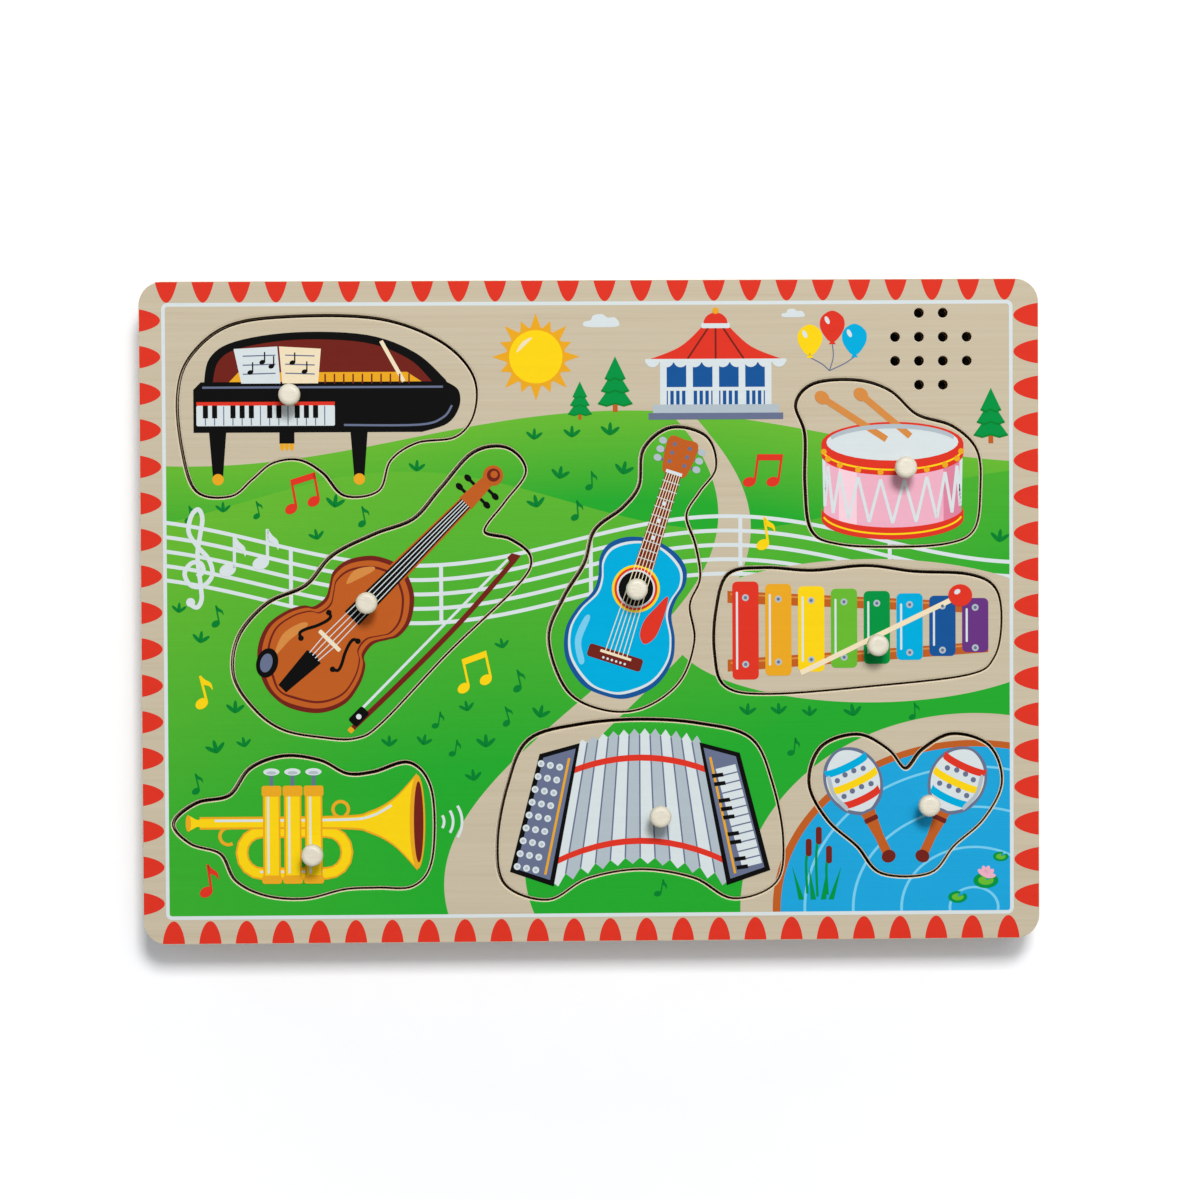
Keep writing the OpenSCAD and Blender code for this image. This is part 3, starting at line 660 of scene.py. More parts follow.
def floor_ply():
    """Thin plywood of the floor panel: grain on its faces, layers on its edges."""
    made, tree, shader, vector = new_material("floor_ply")
    shade, height = use(tree, wood_grain(), vector=vector, light=paint("birch_light"),
                        dark=paint("birch_dark"), along=15.0, across=480.0)
    layers = use(tree, ply_layers(), vector=vector, light=paint("edge_light"), dark=paint("edge_dark"),
                 layer=0.7 * MM)[0]
    feed(shader, {"Base Color": mixed(abs(facing_up(tree)), layers, shade), "Roughness": 0.55,
                  "Normal": relief(height, depth=0.04 * MM, strength=0.6)})
    return made


# How much the specks change the roughness; then each finish: two close colours in steps of 255, specks in a
# metre, roughness, relief in millimetres and metal
SPECK_ROUGH = 0.3
Finish = namedtuple("Finish", "light dark scale rough depth metal", defaults=(0.0,))
FINISHES = {
    "hardboard": Finish((176, 138, 98), (134, 98, 62), 900.0, 0.7, 0.06),
    "zinc_steel": Finish((214, 214, 210), (176, 178, 180), 1500.0, 0.34, 0.01, 1.0),
    "nickel_steel": Finish((226, 222, 214), (190, 186, 178), 1200.0, 0.26, 0.01, 1.0),
    "black_plastic": Finish((46, 46, 48), (30, 30, 32), 2600.0, 0.48, 0.02),
    "slider_plastic": Finish((232, 232, 228), (214, 214, 208), 2200.0, 0.42, 0.02),
    "cell_sleeve": Finish((206, 160, 70), (184, 136, 50), 500.0, 0.3, 0.01, 0.8),
    "sensor_lens": Finish((30, 26, 40), (16, 14, 22), 1800.0, 0.18, 0.004),
    "cone_paper": Finish((62, 62, 64), (40, 40, 42), 1400.0, 0.85, 0.06),
    "soft_rubber": Finish((38, 38, 38), (26, 26, 26), 1000.0, 0.8, 0.05),
    "plated_basket": Finish((150, 152, 156), (118, 120, 124), 1300.0, 0.38, 0.01, 1.0),
    "ground_ferrite": Finish((92, 92, 96), (70, 70, 74), 1700.0, 0.5, 0.02, 0.6),
    "solder_mask": Finish((36, 122, 62), (24, 96, 46), 700.0, 0.35, 0.02),
    "potting_resin": Finish((34, 34, 36), (20, 20, 22), 600.0, 0.22, 0.03),
    "black_epoxy": Finish((50, 52, 60), (34, 36, 42), 1600.0, 0.4, 0.02),
    "white_nylon": Finish((236, 236, 230), (220, 220, 212), 1200.0, 0.45, 0.02),
    "red_sleeve": Finish((206, 44, 38), (180, 32, 28), 1500.0, 0.42, 0.02),
    "black_sleeve": Finish((44, 44, 46), (28, 28, 30), 1500.0, 0.42, 0.02),
}


@cache
def specked(name):
    """Plastic, rubber, paper, board or metal with fine specks."""
    finish = FINISHES[name]
    made, tree, shader, vector = new_material(name)
    light, dark = [lit([step / 255 for step in steps]) for steps in (finish.light, finish.dark)]
    shade, height = use(tree, speckle(), vector=vector, light=light, dark=dark, scale=finish.scale)
    rough = calc("MULTIPLY_ADD", height - 0.5, SPECK_ROUGH, finish.rough)
    feed(shader, {"Base Color": shade, "Roughness": rough, "Metallic": finish.metal,
                  "Normal": relief(height, depth=finish.depth * MM, strength=0.6)})
    return made


# Geometry node trees


def geometry_group(name, **inputs):
    """A new geometry tree on a mesh, inputs of its own and a material: the tree, inputs and output node."""
    sockets = {"Mesh": "mesh", **inputs, "Material": "material"}
    given, out = node_group(name, sockets, {"Mesh": "mesh"}, "GeometryNodeTree")
    return out.id_data, given, out


def close_tree(tree, out, result, material):
    """Ends a geometry tree in Realize Instances and Set Material."""
    solid = out_of(tree, "GeometryNodeRealizeInstances", {"Geometry": result})
    return finish_group(out, mesh=out_of(tree, "GeometryNodeSetMaterial",
                                         {"Geometry": solid, "Material": material}))


@cache
def half_oval_row():
    """A row of closed half ovals along X, their flat sides on the row and their tips towards +Y."""
    tree, given, out = geometry_group("Half oval row", Count="count", Pitch="value", Width="value",
                                      Depth="value", Taper="value", Height="value")
    half_round = out_of(tree, "GeometryNodeCurveArc", {"Resolution": MARK_POINTS, "Radius": 1.0,
                                                       "Start Angle": 0.0, "Sweep Angle": math.pi})
    closed = out_of(tree, "GeometryNodeSetSplineCyclic", {"Geometry": half_round, "Cyclic": True})
    x, y, _ = axes(out_of(tree, "GeometryNodeInputPosition"))
    slender = triple(tree, x, calc("POWER", abs(y), given["Taper"]))
    drawn = out_of(tree, "GeometryNodeSetPosition", {"Geometry": closed, "Position": slender})
    face = out_of(tree, "GeometryNodeFillCurve", {"Curve": drawn}, mode="NGONS")
    scale = triple(tree, given["Width"] * 0.5, given["Depth"], 1.0)
    base = out_of(tree, "GeometryNodeTransform", {"Geometry": face, "Scale": scale})
    raised = out_of(tree, "GeometryNodeExtrudeMesh",
                    {"Mesh": base, "Offset": triple(tree, z=given["Height"]), "Offset Scale": 1.0,
                     "Individual": False}, mode="FACES")
    joined = put(tree, "GeometryNodeJoinGeometry", {0: raised})
    feed(joined, {0: out_of(tree, "GeometryNodeFlipFaces", {"Mesh": base})})
    mark = out_of(tree, "GeometryNodeMergeByDistance", {"Geometry": Signal(joined), "Distance": MERGE_ROOM})
    first = (given["Count"] - 1.0) * given["Pitch"] * -0.5
    row = out_of(tree, "GeometryNodeMeshLine",
                 {"Count": given["Count"], "Start Location": triple(tree, first),
                  "Offset": triple(tree, given["Pitch"])})
    marks = out_of(tree, "GeometryNodeInstanceOnPoints", {"Points": row, "Instance": mark})
    return close_tree(tree, out, marks, given["Material"])


@cache
def stamp_row():
    """A stamp repeated along a straight row."""
    tree, given, out = geometry_group("Stamp row", Count="count", Step="vector")
    row = out_of(tree, "GeometryNodeMeshLine", {"Count": given["Count"], "Offset": given["Step"]})
    stamps = out_of(tree, "GeometryNodeInstanceOnPoints", {"Points": row, "Instance": given["Mesh"]})
    return close_tree(tree, out, stamps, given["Material"])


@cache
def stamp_scatter():
    """A stamp on each point of a mesh, with a random turn and size."""
    tree, given, out = geometry_group("Stamp scatter", Stamp="object", Turn="value", Least="value",
                                      Most="value", Seed="count")
    stamp = out_of(tree, "GeometryNodeObjectInfo", {"Object": given["Stamp"]}, "Geometry")
    turn = out_of(tree, "FunctionNodeRandomValue",
                  {2: given["Turn"] * -1.0, 3: given["Turn"], "Seed": given["Seed"]}, 1)
    size = out_of(tree, "FunctionNodeRandomValue",
                  {2: given["Least"], 3: given["Most"], "Seed": given["Seed"] + 1.0}, 1)
    stamps = out_of(tree, "GeometryNodeInstanceOnPoints",
                    {"Points": given["Mesh"], "Instance": stamp, "Rotation": triple(tree, z=turn),
                     "Scale": triple(tree, size, size, 1.0)})
    return close_tree(tree, out, stamps, given["Material"])


@cache
def flat_line():
    """A flat closed band along each path of a wire mesh."""
    tree, given, out = geometry_group("Flat line", Width="value", Height="value")
    path = out_of(tree, "GeometryNodeMeshToCurve", {"Mesh": given["Mesh"]})
    flat = out_of(tree, "GeometryNodeSetCurveNormal", {"Curve": path}, mode="Z_UP")
    profile = out_of(tree, "GeometryNodeCurvePrimitiveQuadrilateral", {"Width": given["Width"],
                                                                       "Height": given["Height"]})
    band = out_of(tree, "GeometryNodeCurveToMesh", {"Curve": flat, "Profile Curve": profile,
                                                    "Fill Caps": True})
    return close_tree(tree, out, band, given["Material"])


# Meshes


def in_scene(name, data):
    """A new object in the scene."""
    made = bpy.data.objects.new(name, data)
    bpy.context.scene.collection.objects.link(made)
    return made


def new_object(name, mesh, body):
    """An object at the origin that rides on a body."""
    made = in_scene(name, mesh)
    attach(made, body)
    return made


def grown(group, mesh, **values):
    """The plain mesh that a geometry tree makes of a mesh and its named inputs."""
    holder = in_scene("holder", mesh)
    modifier = holder.modifiers.new(group.name, "NODES")
    modifier.node_group = group
    for item in group.interface.items_tree:
        if item.in_out == "INPUT" and item.name in values:
            modifier[item.identifier] = values[item.name]
    seen = holder.evaluated_get(bpy.context.evaluated_depsgraph_get())
    made = bpy.data.meshes.new_from_object(seen)
    bpy.data.objects.remove(holder)
    return made


def mesh_from(bm, name, *materials):
    """The mesh of a finished bmesh, with its faces outwards."""
    bmesh.ops.recalc_face_normals(bm, faces=bm.faces)
    mesh = bpy.data.meshes.new(name)
    bm.to_mesh(mesh)
    bm.free()
    for material in materials:
        mesh.materials.append(material)
    return mesh


def round_pairs(loop):
    """Each item of a closed loop with the next one."""
    return zip(loop, loop[1:] + loop[:1])


def rim_loops(node, level):
    """Rims of a node's flat face at a height, as loops of points with the wood on their left."""
    spots = {}
    edges = set()
    mesh = NODES[node].data
    for face in mesh.polygons:
        corners = [mesh.vertices[index].co for index in face.vertices]
        if all(abs(corner.z - level) < FLAT_ROOM for corner in corners):
            keys = [(round(corner.x / MM, 3), round(corner.y / MM, 3)) for corner in corners]
            spots.update(zip(keys, corners))
            edges.update(round_pairs(keys))
    following = {start: end for start, end in edges if (end, start) not in edges}
    loops = []
    while following:
        first, here = following.popitem()
        loop = [first]
        while here != first:
            loop.append(here)
            here = following.pop(here)
        loops.append([Vector((spots[key].x, spots[key].y)) for key in loop])
    return loops


def rim_length(loop):
    """Length round a loop of points."""
    return sum((after - here).length for here, after in round_pairs(loop))


def piece_rim(name):
    """The outer rim of a piece's top."""
    return max(rim_loops(f"{name}_piece", TOP_LEVEL), key=rim_length)


def inset(loop, distance):
    """A loop moved to its left, with square offsets."""
    moved = []
    for before, here, after in zip(loop[-1:] + loop[:-1], loop, loop[1:] + loop[:1]):
        into = (here - before).normalized()
        away = (after - here).normalized()
        normal = Vector((-into.y - away.y, into.x + away.x)).normalized()
        square = max(normal.dot(Vector((-into.y, into.x))), LEAST_SQUARE)
        moved.append(here + normal * (distance / square))
    return moved


def eased_slab(name, rims, low):
    """A printed slab up to the board's top, from rims with the radii of their eased edges."""
    bm = bmesh.new()
    flats = {TOP_LEVEL: [], low: []}
    for rim, radius in rims:
        rings = []
        for step in range(EASE_STEPS + 1):
            angle = step / EASE_STEPS * math.pi / 2
            level = TOP_LEVEL - radius * (1 - math.cos(angle))
            ring = inset(rim, radius * (1 - math.sin(angle)))
            rings.append([bm.verts.new((*point, level)) for point in ring])
        rings.append([bm.verts.new((*point, low)) for point in rim])
        for upper, lower in zip(rings, rings[1:]):
            for (a, b), (c, d) in zip(round_pairs(upper), round_pairs(lower)):
                bm.faces.new((a, c, d, b))
        for level, ring in ((TOP_LEVEL, rings[0]), (low, rings[-1])):
            edges = [bm.edges.get(pair) for pair in round_pairs(ring)]
            for edge in edges:
                edge.smooth = False
            flats[level] += edges
    for level, edges in flats.items():
        up = 1 if level == TOP_LEVEL else -1
        bmesh.ops.triangle_fill(bm, use_beauty=True, edges=edges, normal=(0, 0, up))
    for face in bm.faces:
        face.smooth = True
    return mesh_from(bm, name, printed_birch())


def add_prism(bm, outline, low, high, index=0):
    """A closed flat prism over an outline in millimetres."""
    base = [bm.verts.new((x * MM, y * MM, low)) for x, y in outline]
    cap = [bm.verts.new((x * MM, y * MM, high)) for x, y in outline]
    faces = [bm.faces.new(cap), bm.faces.new(base[::-1])]
    for (a, b), (c, d) in zip(round_pairs(base), round_pairs(cap)):
        faces.append(bm.faces.new((a, b, d, c)))
    for face in faces:
        face.material_index = index


def wire_mesh(paths, level, lap):
    """A mesh of bare edges along paths in millimetres, which rises a little so that crossings lie apart."""
    points = []
    edges = []
    for path in paths:
        first = len(points)
        points += [(x * MM, y * MM, level + lap * step) for step, (x, y) in enumerate(path)]
        edges += [(first + step, first + step + 1) for step in range(len(path) - 1)]
    mesh = bpy.data.meshes.new("wire")
    mesh.from_pydata(points, edges, [])
    return mesh


# Drawing, in millimetres


def along_axis(x, y, degrees):
    """A function that turns points to an axis and sets them at a place."""
    turn = math.radians(degrees)

    def put_there(points):
        return [(x + along * math.cos(turn) - side * math.sin(turn),
                 y + along * math.sin(turn) + side * math.cos(turn)) for along, side in points]
    return put_there


def sized(points, x, y, size):
    """Points scaled and set at a place."""
    return [(x + a * size, y + b * size) for a, b in points]


def on_oval(x, y, half_w, half_d, degrees):
    """The point of an oval at an angle."""
    angle = math.radians(degrees)
    return x + half_w * math.cos(angle), y + half_d * math.sin(angle)


def oval(x, y, half_w, half_d=None, degrees=0, count=32):
    """An oval, turned by an angle."""
    angles = [step / count * math.tau for step in range(count)]
    points = [(half_w * math.cos(angle), (half_d or half_w) * math.sin(angle)) for angle in angles]
    return along_axis(x, y, degrees)(points)


def arc(x, y, half_w, half_d, start, end, count=14):
    """Part of an oval, between two angles in degrees."""
    angles = [start + (end - start) * step / count for step in range(count + 1)]
    return [on_oval(x, y, half_w, half_d, angle) for angle in angles]


def box(left, low, right, high, radius=0.0):
    """A rectangle with round corners."""
    if radius == 0:
        return [(left, low), (right, low), (right, high), (left, high)]
    corners = ((right, high, 0), (left, high, 90), (left, low, 180), (right, low, 270))
    points = []
    for x, y, start in corners:
        inner_x = x - radius if x == right else x + radius
        inner_y = y - radius if y == high else y + radius
        points += arc(inner_x, inner_y, radius, radius, start, start + 90, 4)
    return points


def smooth(points, closed=True, steps=6):
    """A smooth curve through points."""
    count = len(points)
    bends = []
    for index in range(count if closed else count - 1):
        if closed:
            knots = [points[(index + shift) % count] for shift in (-1, 0, 1, 2)]
        else:
            knots = [points[min(max(index + shift, 0), count - 1)] for shift in (-1, 0, 1, 2)]
        for step in range(steps):
            t = step / steps
            bends.append(tuple(0.5 * (2 * b + (c - a) * t + (2 * a - 5 * b + 4 * c - d) * t * t
                                      + (3 * b - a - 3 * c + d) * t ** 3) for a, b, c, d in zip(*knots)))
    return bends if closed else bends + [points[-1]]


def curve(points):
    """A smooth open curve through points."""
    return smooth(points, closed=False)


def both_sides(profile):
    """A closed outline from half of it, mirrored across the first axis."""
    return profile + [(along, -side) for along, side in reversed(profile) if side > 0]


def drawn_in(profile, amount):
    """A half outline moved inwards."""
    ends = [along for along, _ in profile]
    centre = (min(ends) + max(ends)) / 2
    shrink = 1 - 2 * amount / (max(ends) - min(ends))
    return [(centre + (along - centre) * shrink, max(side - amount, 0)) for along, side in profile]


class Sketch:
    """Flat shapes in inks, to be printed as thin closed films."""

    def __init__(self):
        self.fills = []
        self.lines = {}
        self.rows = []

    def fill(self, ink, outline, layer=1):
        """A filled outline."""
        self.fills.append((ink, outline, layer))

    def line(self, ink, width, *paths, layer=2):
        """Lines along open paths."""
        self.lines.setdefault((ink, width, layer), []).extend(paths)

    def row(self, ink, outline, count, step, layer=3):
        """An outline repeated in a straight row."""
        self.rows.append((ink, outline, count, step, layer))

    def film(self, name, level, body, slot, side=1):
        """Prints the sketch on a level surface; side is -1 on an underside."""
        measure = sizes()
        bm = bmesh.new()
        inks = []

        def index_of(ink):
            if ink not in inks:
                inks.append(ink)
            return inks.index(ink)

        def span(layer, order):
            rise = measure.film_height + measure.film_step * layer + measure.film_lap * order
            return sorted((level - side * measure.film_root, level + side * rise))

        def take_in(group, mesh, ink, **values):
            printed = grown(group, mesh, Material=ink_material(ink), **values)
            first = len(bm.faces)
            bm.from_mesh(printed)
            bm.faces.ensure_lookup_table()
            for face in bm.faces[first:]:
                face.material_index = index_of(ink)
            bpy.data.meshes.remove(printed)

        for order, (ink, outline, layer) in enumerate(self.fills):
            add_prism(bm, outline, *span(layer, order), index_of(ink))
        for order, ((ink, width, layer), paths) in enumerate(self.lines.items()):
            low, high = span(layer, order)
            wire = wire_mesh(paths, (low + high) / 2, side * measure.film_lap)
            take_in(flat_line(), wire, ink, Width=width * MM, Height=high - low)
        for order, (ink, outline, count, step, layer) in enumerate(self.rows):
            stamp = bmesh.new()
            add_prism(stamp, outline, *span(layer, order))
            way = (step[0] * MM, step[1] * MM, 0.0)
            take_in(stamp_row(), mesh_from(stamp, "stamp"), ink, Count=count, Step=way)
        for face in bm.faces:
            face.smooth = False
        new_object(name, mesh_from(bm, name, *map(ink_material, inks)), body)


def print_piece(name, sketch):
    """Prints an instrument on its piece, and again on the floor of its recess with a dark line round it as
    painted shade under the gap.
    """
    sketch.film(f"{name}_print", TOP_LEVEL, name, "printed_piece")
    measure = sizes()
    # The dark line under the gap is painted shade
    path = [tuple(spot / MM) for spot in inset(piece_rim(name), measure.shade_inset)]
    sketch.line("shade", measure.shade_width / MM, path + path[:1], layer=0)
    sketch.film(f"{name}_recess_print", FLOOR_LEVEL, "board", "floor_plywood")


# The eight instruments


def draw_piano():
    """Grand piano with its lid up."""
    s = Sketch()
    for x in (-124, -77):
        s.fill("black", [(x - 3, 62), (x - 1.7, 45.5), (x + 1.7, 45.5), (x + 3, 62)])
        s.fill("gold", oval(x, 44.6, 1.9))
    s.fill("black", box(-103.5, 56.5, -98.5, 62))
    s.row("gold", oval(-102.6, 55.6, 0.75, 1.5, count=16), 3, (1.6, 0), 1)
    lid = curve([(-128.5, 76), (-126.5, 85), (-118, 90.5), (-98, 93.5), (-74, 92.5), (-58, 86.5),
                 (-48, 77.5)])
    lining = curve([(-125.5, 77), (-123.5, 84), (-116.5, 88.2), (-98, 91), (-75, 90), (-60.5, 84.6),
                    (-53, 77.5)])
    s.fill("black", lid + [(-47, 75), (-128.5, 75)])
    s.fill("maroon", lining + [(-52, 75), (-125.5, 75)], 2)
    s.fill("gold", [(-122, 75), (-117, 80.2), (-61, 80.2), (-53, 75)], 3)
    s.row("maroon", box(-113.2, 76.4, -112.7, 79.6), 18, (3.1, 0), 4)
    s.line("cream", 1.3, [(-62, 77), (-69.5, 90.5)], layer=4)
    body = curve([(-56, 60.2), (-47.5, 63), (-43.6, 68.5), (-43.8, 74), (-48, 77)])
    s.fill("black", [(-132, 60.2)] + body + [(-129.5, 77), (-132, 74.5)], 3)
    s.line("slate", 0.7, [(-129, 75.2), (-49, 75.2)],
           curve([(-82, 62.6), (-57, 62.6), (-49, 65), (-46, 69)]), layer=4)
    s.fill("white", box(-131, 62.4, -85, 69.2, 0.5), 4)
    s.row("slate", box(-128.2, 62.6, -127.85, 69), 14, (3.05, 0), 5)
    for key in (0, 1, 3, 4, 5, 7, 8, 10, 11, 12):
        x = -128 + key * 3.05
        s.fill("black", box(x - 0.85, 65, x + 0.85, 69.2), 6)
    s.fill("red", box(-131, 69.2, -85, 70.4), 5)
    s.fill("white", [(-116, 76.5), (-118.5, 88), (-104, 88.8), (-103, 76.5)], 5)
    s.fill("cream", [(-102.4, 76.5), (-103.4, 88.8), (-89.5, 88), (-90.5, 76.5)], 5)
    for y in (79.6, 82.6, 85.6):
        s.line("slate", 0.4, [(-115.5, y), (-104.6, y + 0.3)], [(-101.4, y + 0.3), (-91.6, y)], layer=6)
    for x, y in ((-113, 80.2), (-109, 83.6), (-106, 82.2), (-99, 83.4), (-95, 80.4)):
        s.fill("black", oval(x, y, 1.0, 0.75, 20, 16), 6)
        s.line("black", 0.45, [(x + 0.8, y), (x + 0.8, y + 3.4)], layer=6)
    return s


def draw_violin():
    """Violin and bow, along a slanting axis from the tail to the scroll."""
    s = Sketch()
    at = along_axis(-106, -28, 45)
    half = [(0, 0), (1.5, 7), (7, 14.6), (15, 18.4), (23, 17.4), (28.6, 14.6), (31, 11.8), (36, 11.2),
            (40.4, 13.6), (44, 15.4), (50, 14.6), (56.5, 10), (60, 4), (60.4, 0)]
    for amount, ink, layer in ((0, "maroon", 1), (1.2, "brown", 2), (2.6, "maroon", 3), (3.2, "brown", 4)):
        s.fill(ink, at(smooth(both_sides(drawn_in(half, amount)))), layer)
    s.fill("tan", at(smooth([(10, 9.5), (17, 12.6), (24, 11), (25, 8.8), (17, 9.6)])), 5)
    s.fill("tan", at(smooth([(44, 9.4), (49, 10.6), (54, 7.4), (53.6, 6), (48, 7.6)])), 5)
    s.fill("black", at([(4, 1.8), (4, -1.8), (19, -3.2), (20, 0), (19, 3.2)]), 6)
    s.fill("black", at(oval(6.6, 9.6, 5, 3.6, 30)), 6)
    s.fill("slate", at(oval(6.4, 9.8, 3.2, 2, 30)), 7)
    s.fill("brown", at([(58, 3.4), (58, -3.4), (92, -2.4), (92, 2.4)]), 5)
    s.fill("black", at([(37, 3.3), (37, -3.3), (91, -2), (91, 2)]), 6)
    s.fill("brown", at([(91, 2.8), (91, -2.8), (102, -2), (102, 2)]), 6)
    s.fill("brown", at(oval(104, 0, 3.4)), 6)
    s.fill("maroon", at(oval(104.2, 0, 2.2)), 7)
    s.fill("brown", at(oval(104.5, 0, 1.2)), 7)
    for along, side in ((93.5, 1), (97.5, 1), (95.5, -1), (99.5, -1)):
        s.line("black", 1.0, at([(along, side * 2), (along, side * 4.8)]), layer=5)
        s.fill("black", at(oval(along, side * 5.4, 1.0, 1.4, count=16)), 6)
    for side in (1, -1):
        hole = [(20.4, 7.4), (21.4, 8.9), (23.6, 8.4), (27, 6.6), (30.4, 5.4), (32.4, 5.4), (33, 6.8)]
        s.line("black", 1.05, at(curve([(along, side * out) for along, out in hole])), layer=6)
        for along, out in (hole[0], hole[-1]):
            s.fill("black", at(oval(along, side * out, 0.95, count=16)), 6)
    s.fill("cream", at(box(25.8, -4.8, 27.2, 4.8, 0.4)), 6)
    strings = [[(19, side * 1.45), (26.5, side * 1.9), (91, side)] for side in (-1.35, -0.45, 0.45, 1.35)]
    s.line("white", 0.32, *[at(path) for path in strings], layer=7)
    bow = along_axis(-104.9, -26.9, 45)
    s.line("maroon", 1.7, bow(curve([(9, -26), (30, -26.6), (60, -26.6), (88, -24.8)])), layer=2)
    s.line("white", 0.9, bow([(13, -23.6), (86, -23.2)]), layer=2)
    s.fill("black", bow(box(10.5, -26.6, 17, -22.8, 0.8)), 3)
    s.fill("white", bow(oval(13.7, -24.7, 0.9, count=16)), 4)
    s.fill("gold", bow(box(7.8, -26.9, 9.6, -25.1, 0.4)), 3)
    s.fill("maroon", bow([(85, -25.8), (90, -25.4), (88.4, -22.6), (86.4, -22.6)]), 3)
    return s


def draw_guitar():
    """Guitar on a steep axis, with its peg in the sound hole."""
    s = Sketch()
    lean = 72
    at = along_axis(10, -9, lean)
    step_to = along_axis(0, 0, lean)
    half = [(-20, 0), (-18.6, 8), (-12, 15.6), (-3, 18.6), (5, 17.2), (12, 13.8), (17.6, 13.6), (23.6, 15),
            (29, 13.4), (33, 8), (34.6, 0)]
    for amount, ink, layer in ((0, "navy", 1), (1.2, "white", 2), (1.9, "blue", 3)):
        s.fill(ink, at(smooth(both_sides(drawn_in(half, amount)))), layer)
    s.fill("ripple", at(smooth([(-12, 11), (-5, 14.6), (3, 13.8), (3.4, 12), (-5, 12.4), (-11, 9.4)])), 4)
    guard = [(8, -5.6), (13, -7.8), (18, -10.6), (12, -11.4), (4, -10.8), (0.5, -8), (3, -5.6)]
    s.fill("red", at(smooth(guard)), 4)
    for radius, ink, layer in ((8, "yellow", 5), (7.2, "red", 6), (6.4, "white", 6), (5.8, "black", 6)):
        s.fill(ink, oval(*PEG_TOPS["guitar"], radius, degrees=lean), layer)
    s.fill("maroon", at(box(-9, -9.4, -4.6, 9.4, 1)), 4)
    s.fill("cream", at(box(-6.4, -5.4, -5.5, 5.4)), 5)
    s.row("white", at(oval(-7.9, -3.75, 0.42, count=12)), 6, step_to([(0, 1.5)])[0], 5)
    s.fill("maroon", at([(25, 3.3), (25, -3.3), (58, -2.6), (58, 2.6)]), 6)
    s.row("grey", at(box(27.4, -3, 27.8, 3)), 10, step_to([(3, 0)])[0], 7)
    for along in (35.2, 41.2, 47.2):
        s.fill("white", at(oval(along, 0, 0.75, count=16)), 7)
    head = [(57, 2.8), (60, 4.6), (69, 5), (69.6, 0), (69, -5), (60, -4.6), (57, -2.8)]
    s.fill("brown", at(smooth(head)), 5)
    s.fill("white", at(box(57.4, -2.8, 58.5, 2.8)), 7)
    for along in (61.2, 64.2, 67.2):
        for side in (1, -1):
            s.line("slate", 0.8, at([(along, side * 2.6), (along, side * 6)]), layer=4)
            s.fill("grey", at(oval(along, side * 6.8, 1.15, 1.35, count=16)), 6)
            s.fill("slate", at(oval(along, side * 2.6, 0.7, count=12)), 6)
    strings = [[(-6, side), (58, side * 0.56)] for side in (-3.75, -2.25, -0.75, 0.75, 2.25, 3.75)]
    s.line("cream", 0.3, *[at(path) for path in strings], layer=7)
    return s


def draw_drum():
    """Side drum with a rope and two sticks."""
    s = Sketch()
    x, half, top, low = 101, 23, 54, 32.5
    for start, end in (((99, 57), (77.5, 71)), ((107, 58), (90.5, 72))):
        s.line("tan", 2.2, [start, end], layer=6)
        s.fill("tan", oval(*end, 2.6, 2.1, -35), 7)
    s.fill("pink", arc(x, low, half, 6.5, 180, 360) + [(x + half, top), (x - half, top)])
    s.fill("rose", arc(x, low, half, 6.5, 318, 360, 6) + [(x + half, top), (x + 17, top)], 2)
    s.fill("blush", [(x - 18, top), (x - 18, low - 4), (x - 12, low - 5.5), (x - 12, top)], 2)
    spots = 9
    turns = [math.radians(180 + 180 * step / (2 * spots)) for step in range(2 * spots + 1)]
    rope = [(x + half * math.cos(turn), (top - 3.5, low + 3.4)[step % 2] + 7 * math.sin(turn))
            for step, turn in enumerate(turns)]
    s.line("white", 1.0, *[list(ends) for ends in zip(rope, rope[1:])], layer=3)
    for level in (top, low):
        under, over = level - 2, level + 2
        hoop = arc(x, under, half + 0.8, 7, 180, 360, 24) + arc(x, over, half + 0.8, 7, 360, 180, 24)
        s.fill("red", hoop, 4)
        s.line("yellow", 0.6, arc(x, level - 0.2, half + 0.4, 7, 190, 350, 24), layer=5)
    for spot_x, spot_y in rope[::2]:
        s.fill("gold", oval(spot_x, spot_y + 2.4, 1.0, count=16), 6)
    s.fill("red", oval(x, top + 1.6, half + 0.8, 7.2), 4)
    s.fill("white", oval(x, top + 2, half - 0.9, 6.1), 5)
    shadow = arc(x, top + 2, half - 0.9, 6.1, 20, 160, 20) + arc(x, top + 1, half - 1.4, 5.6, 160, 20, 20)
    s.fill("grey", shadow, 6)
    return s


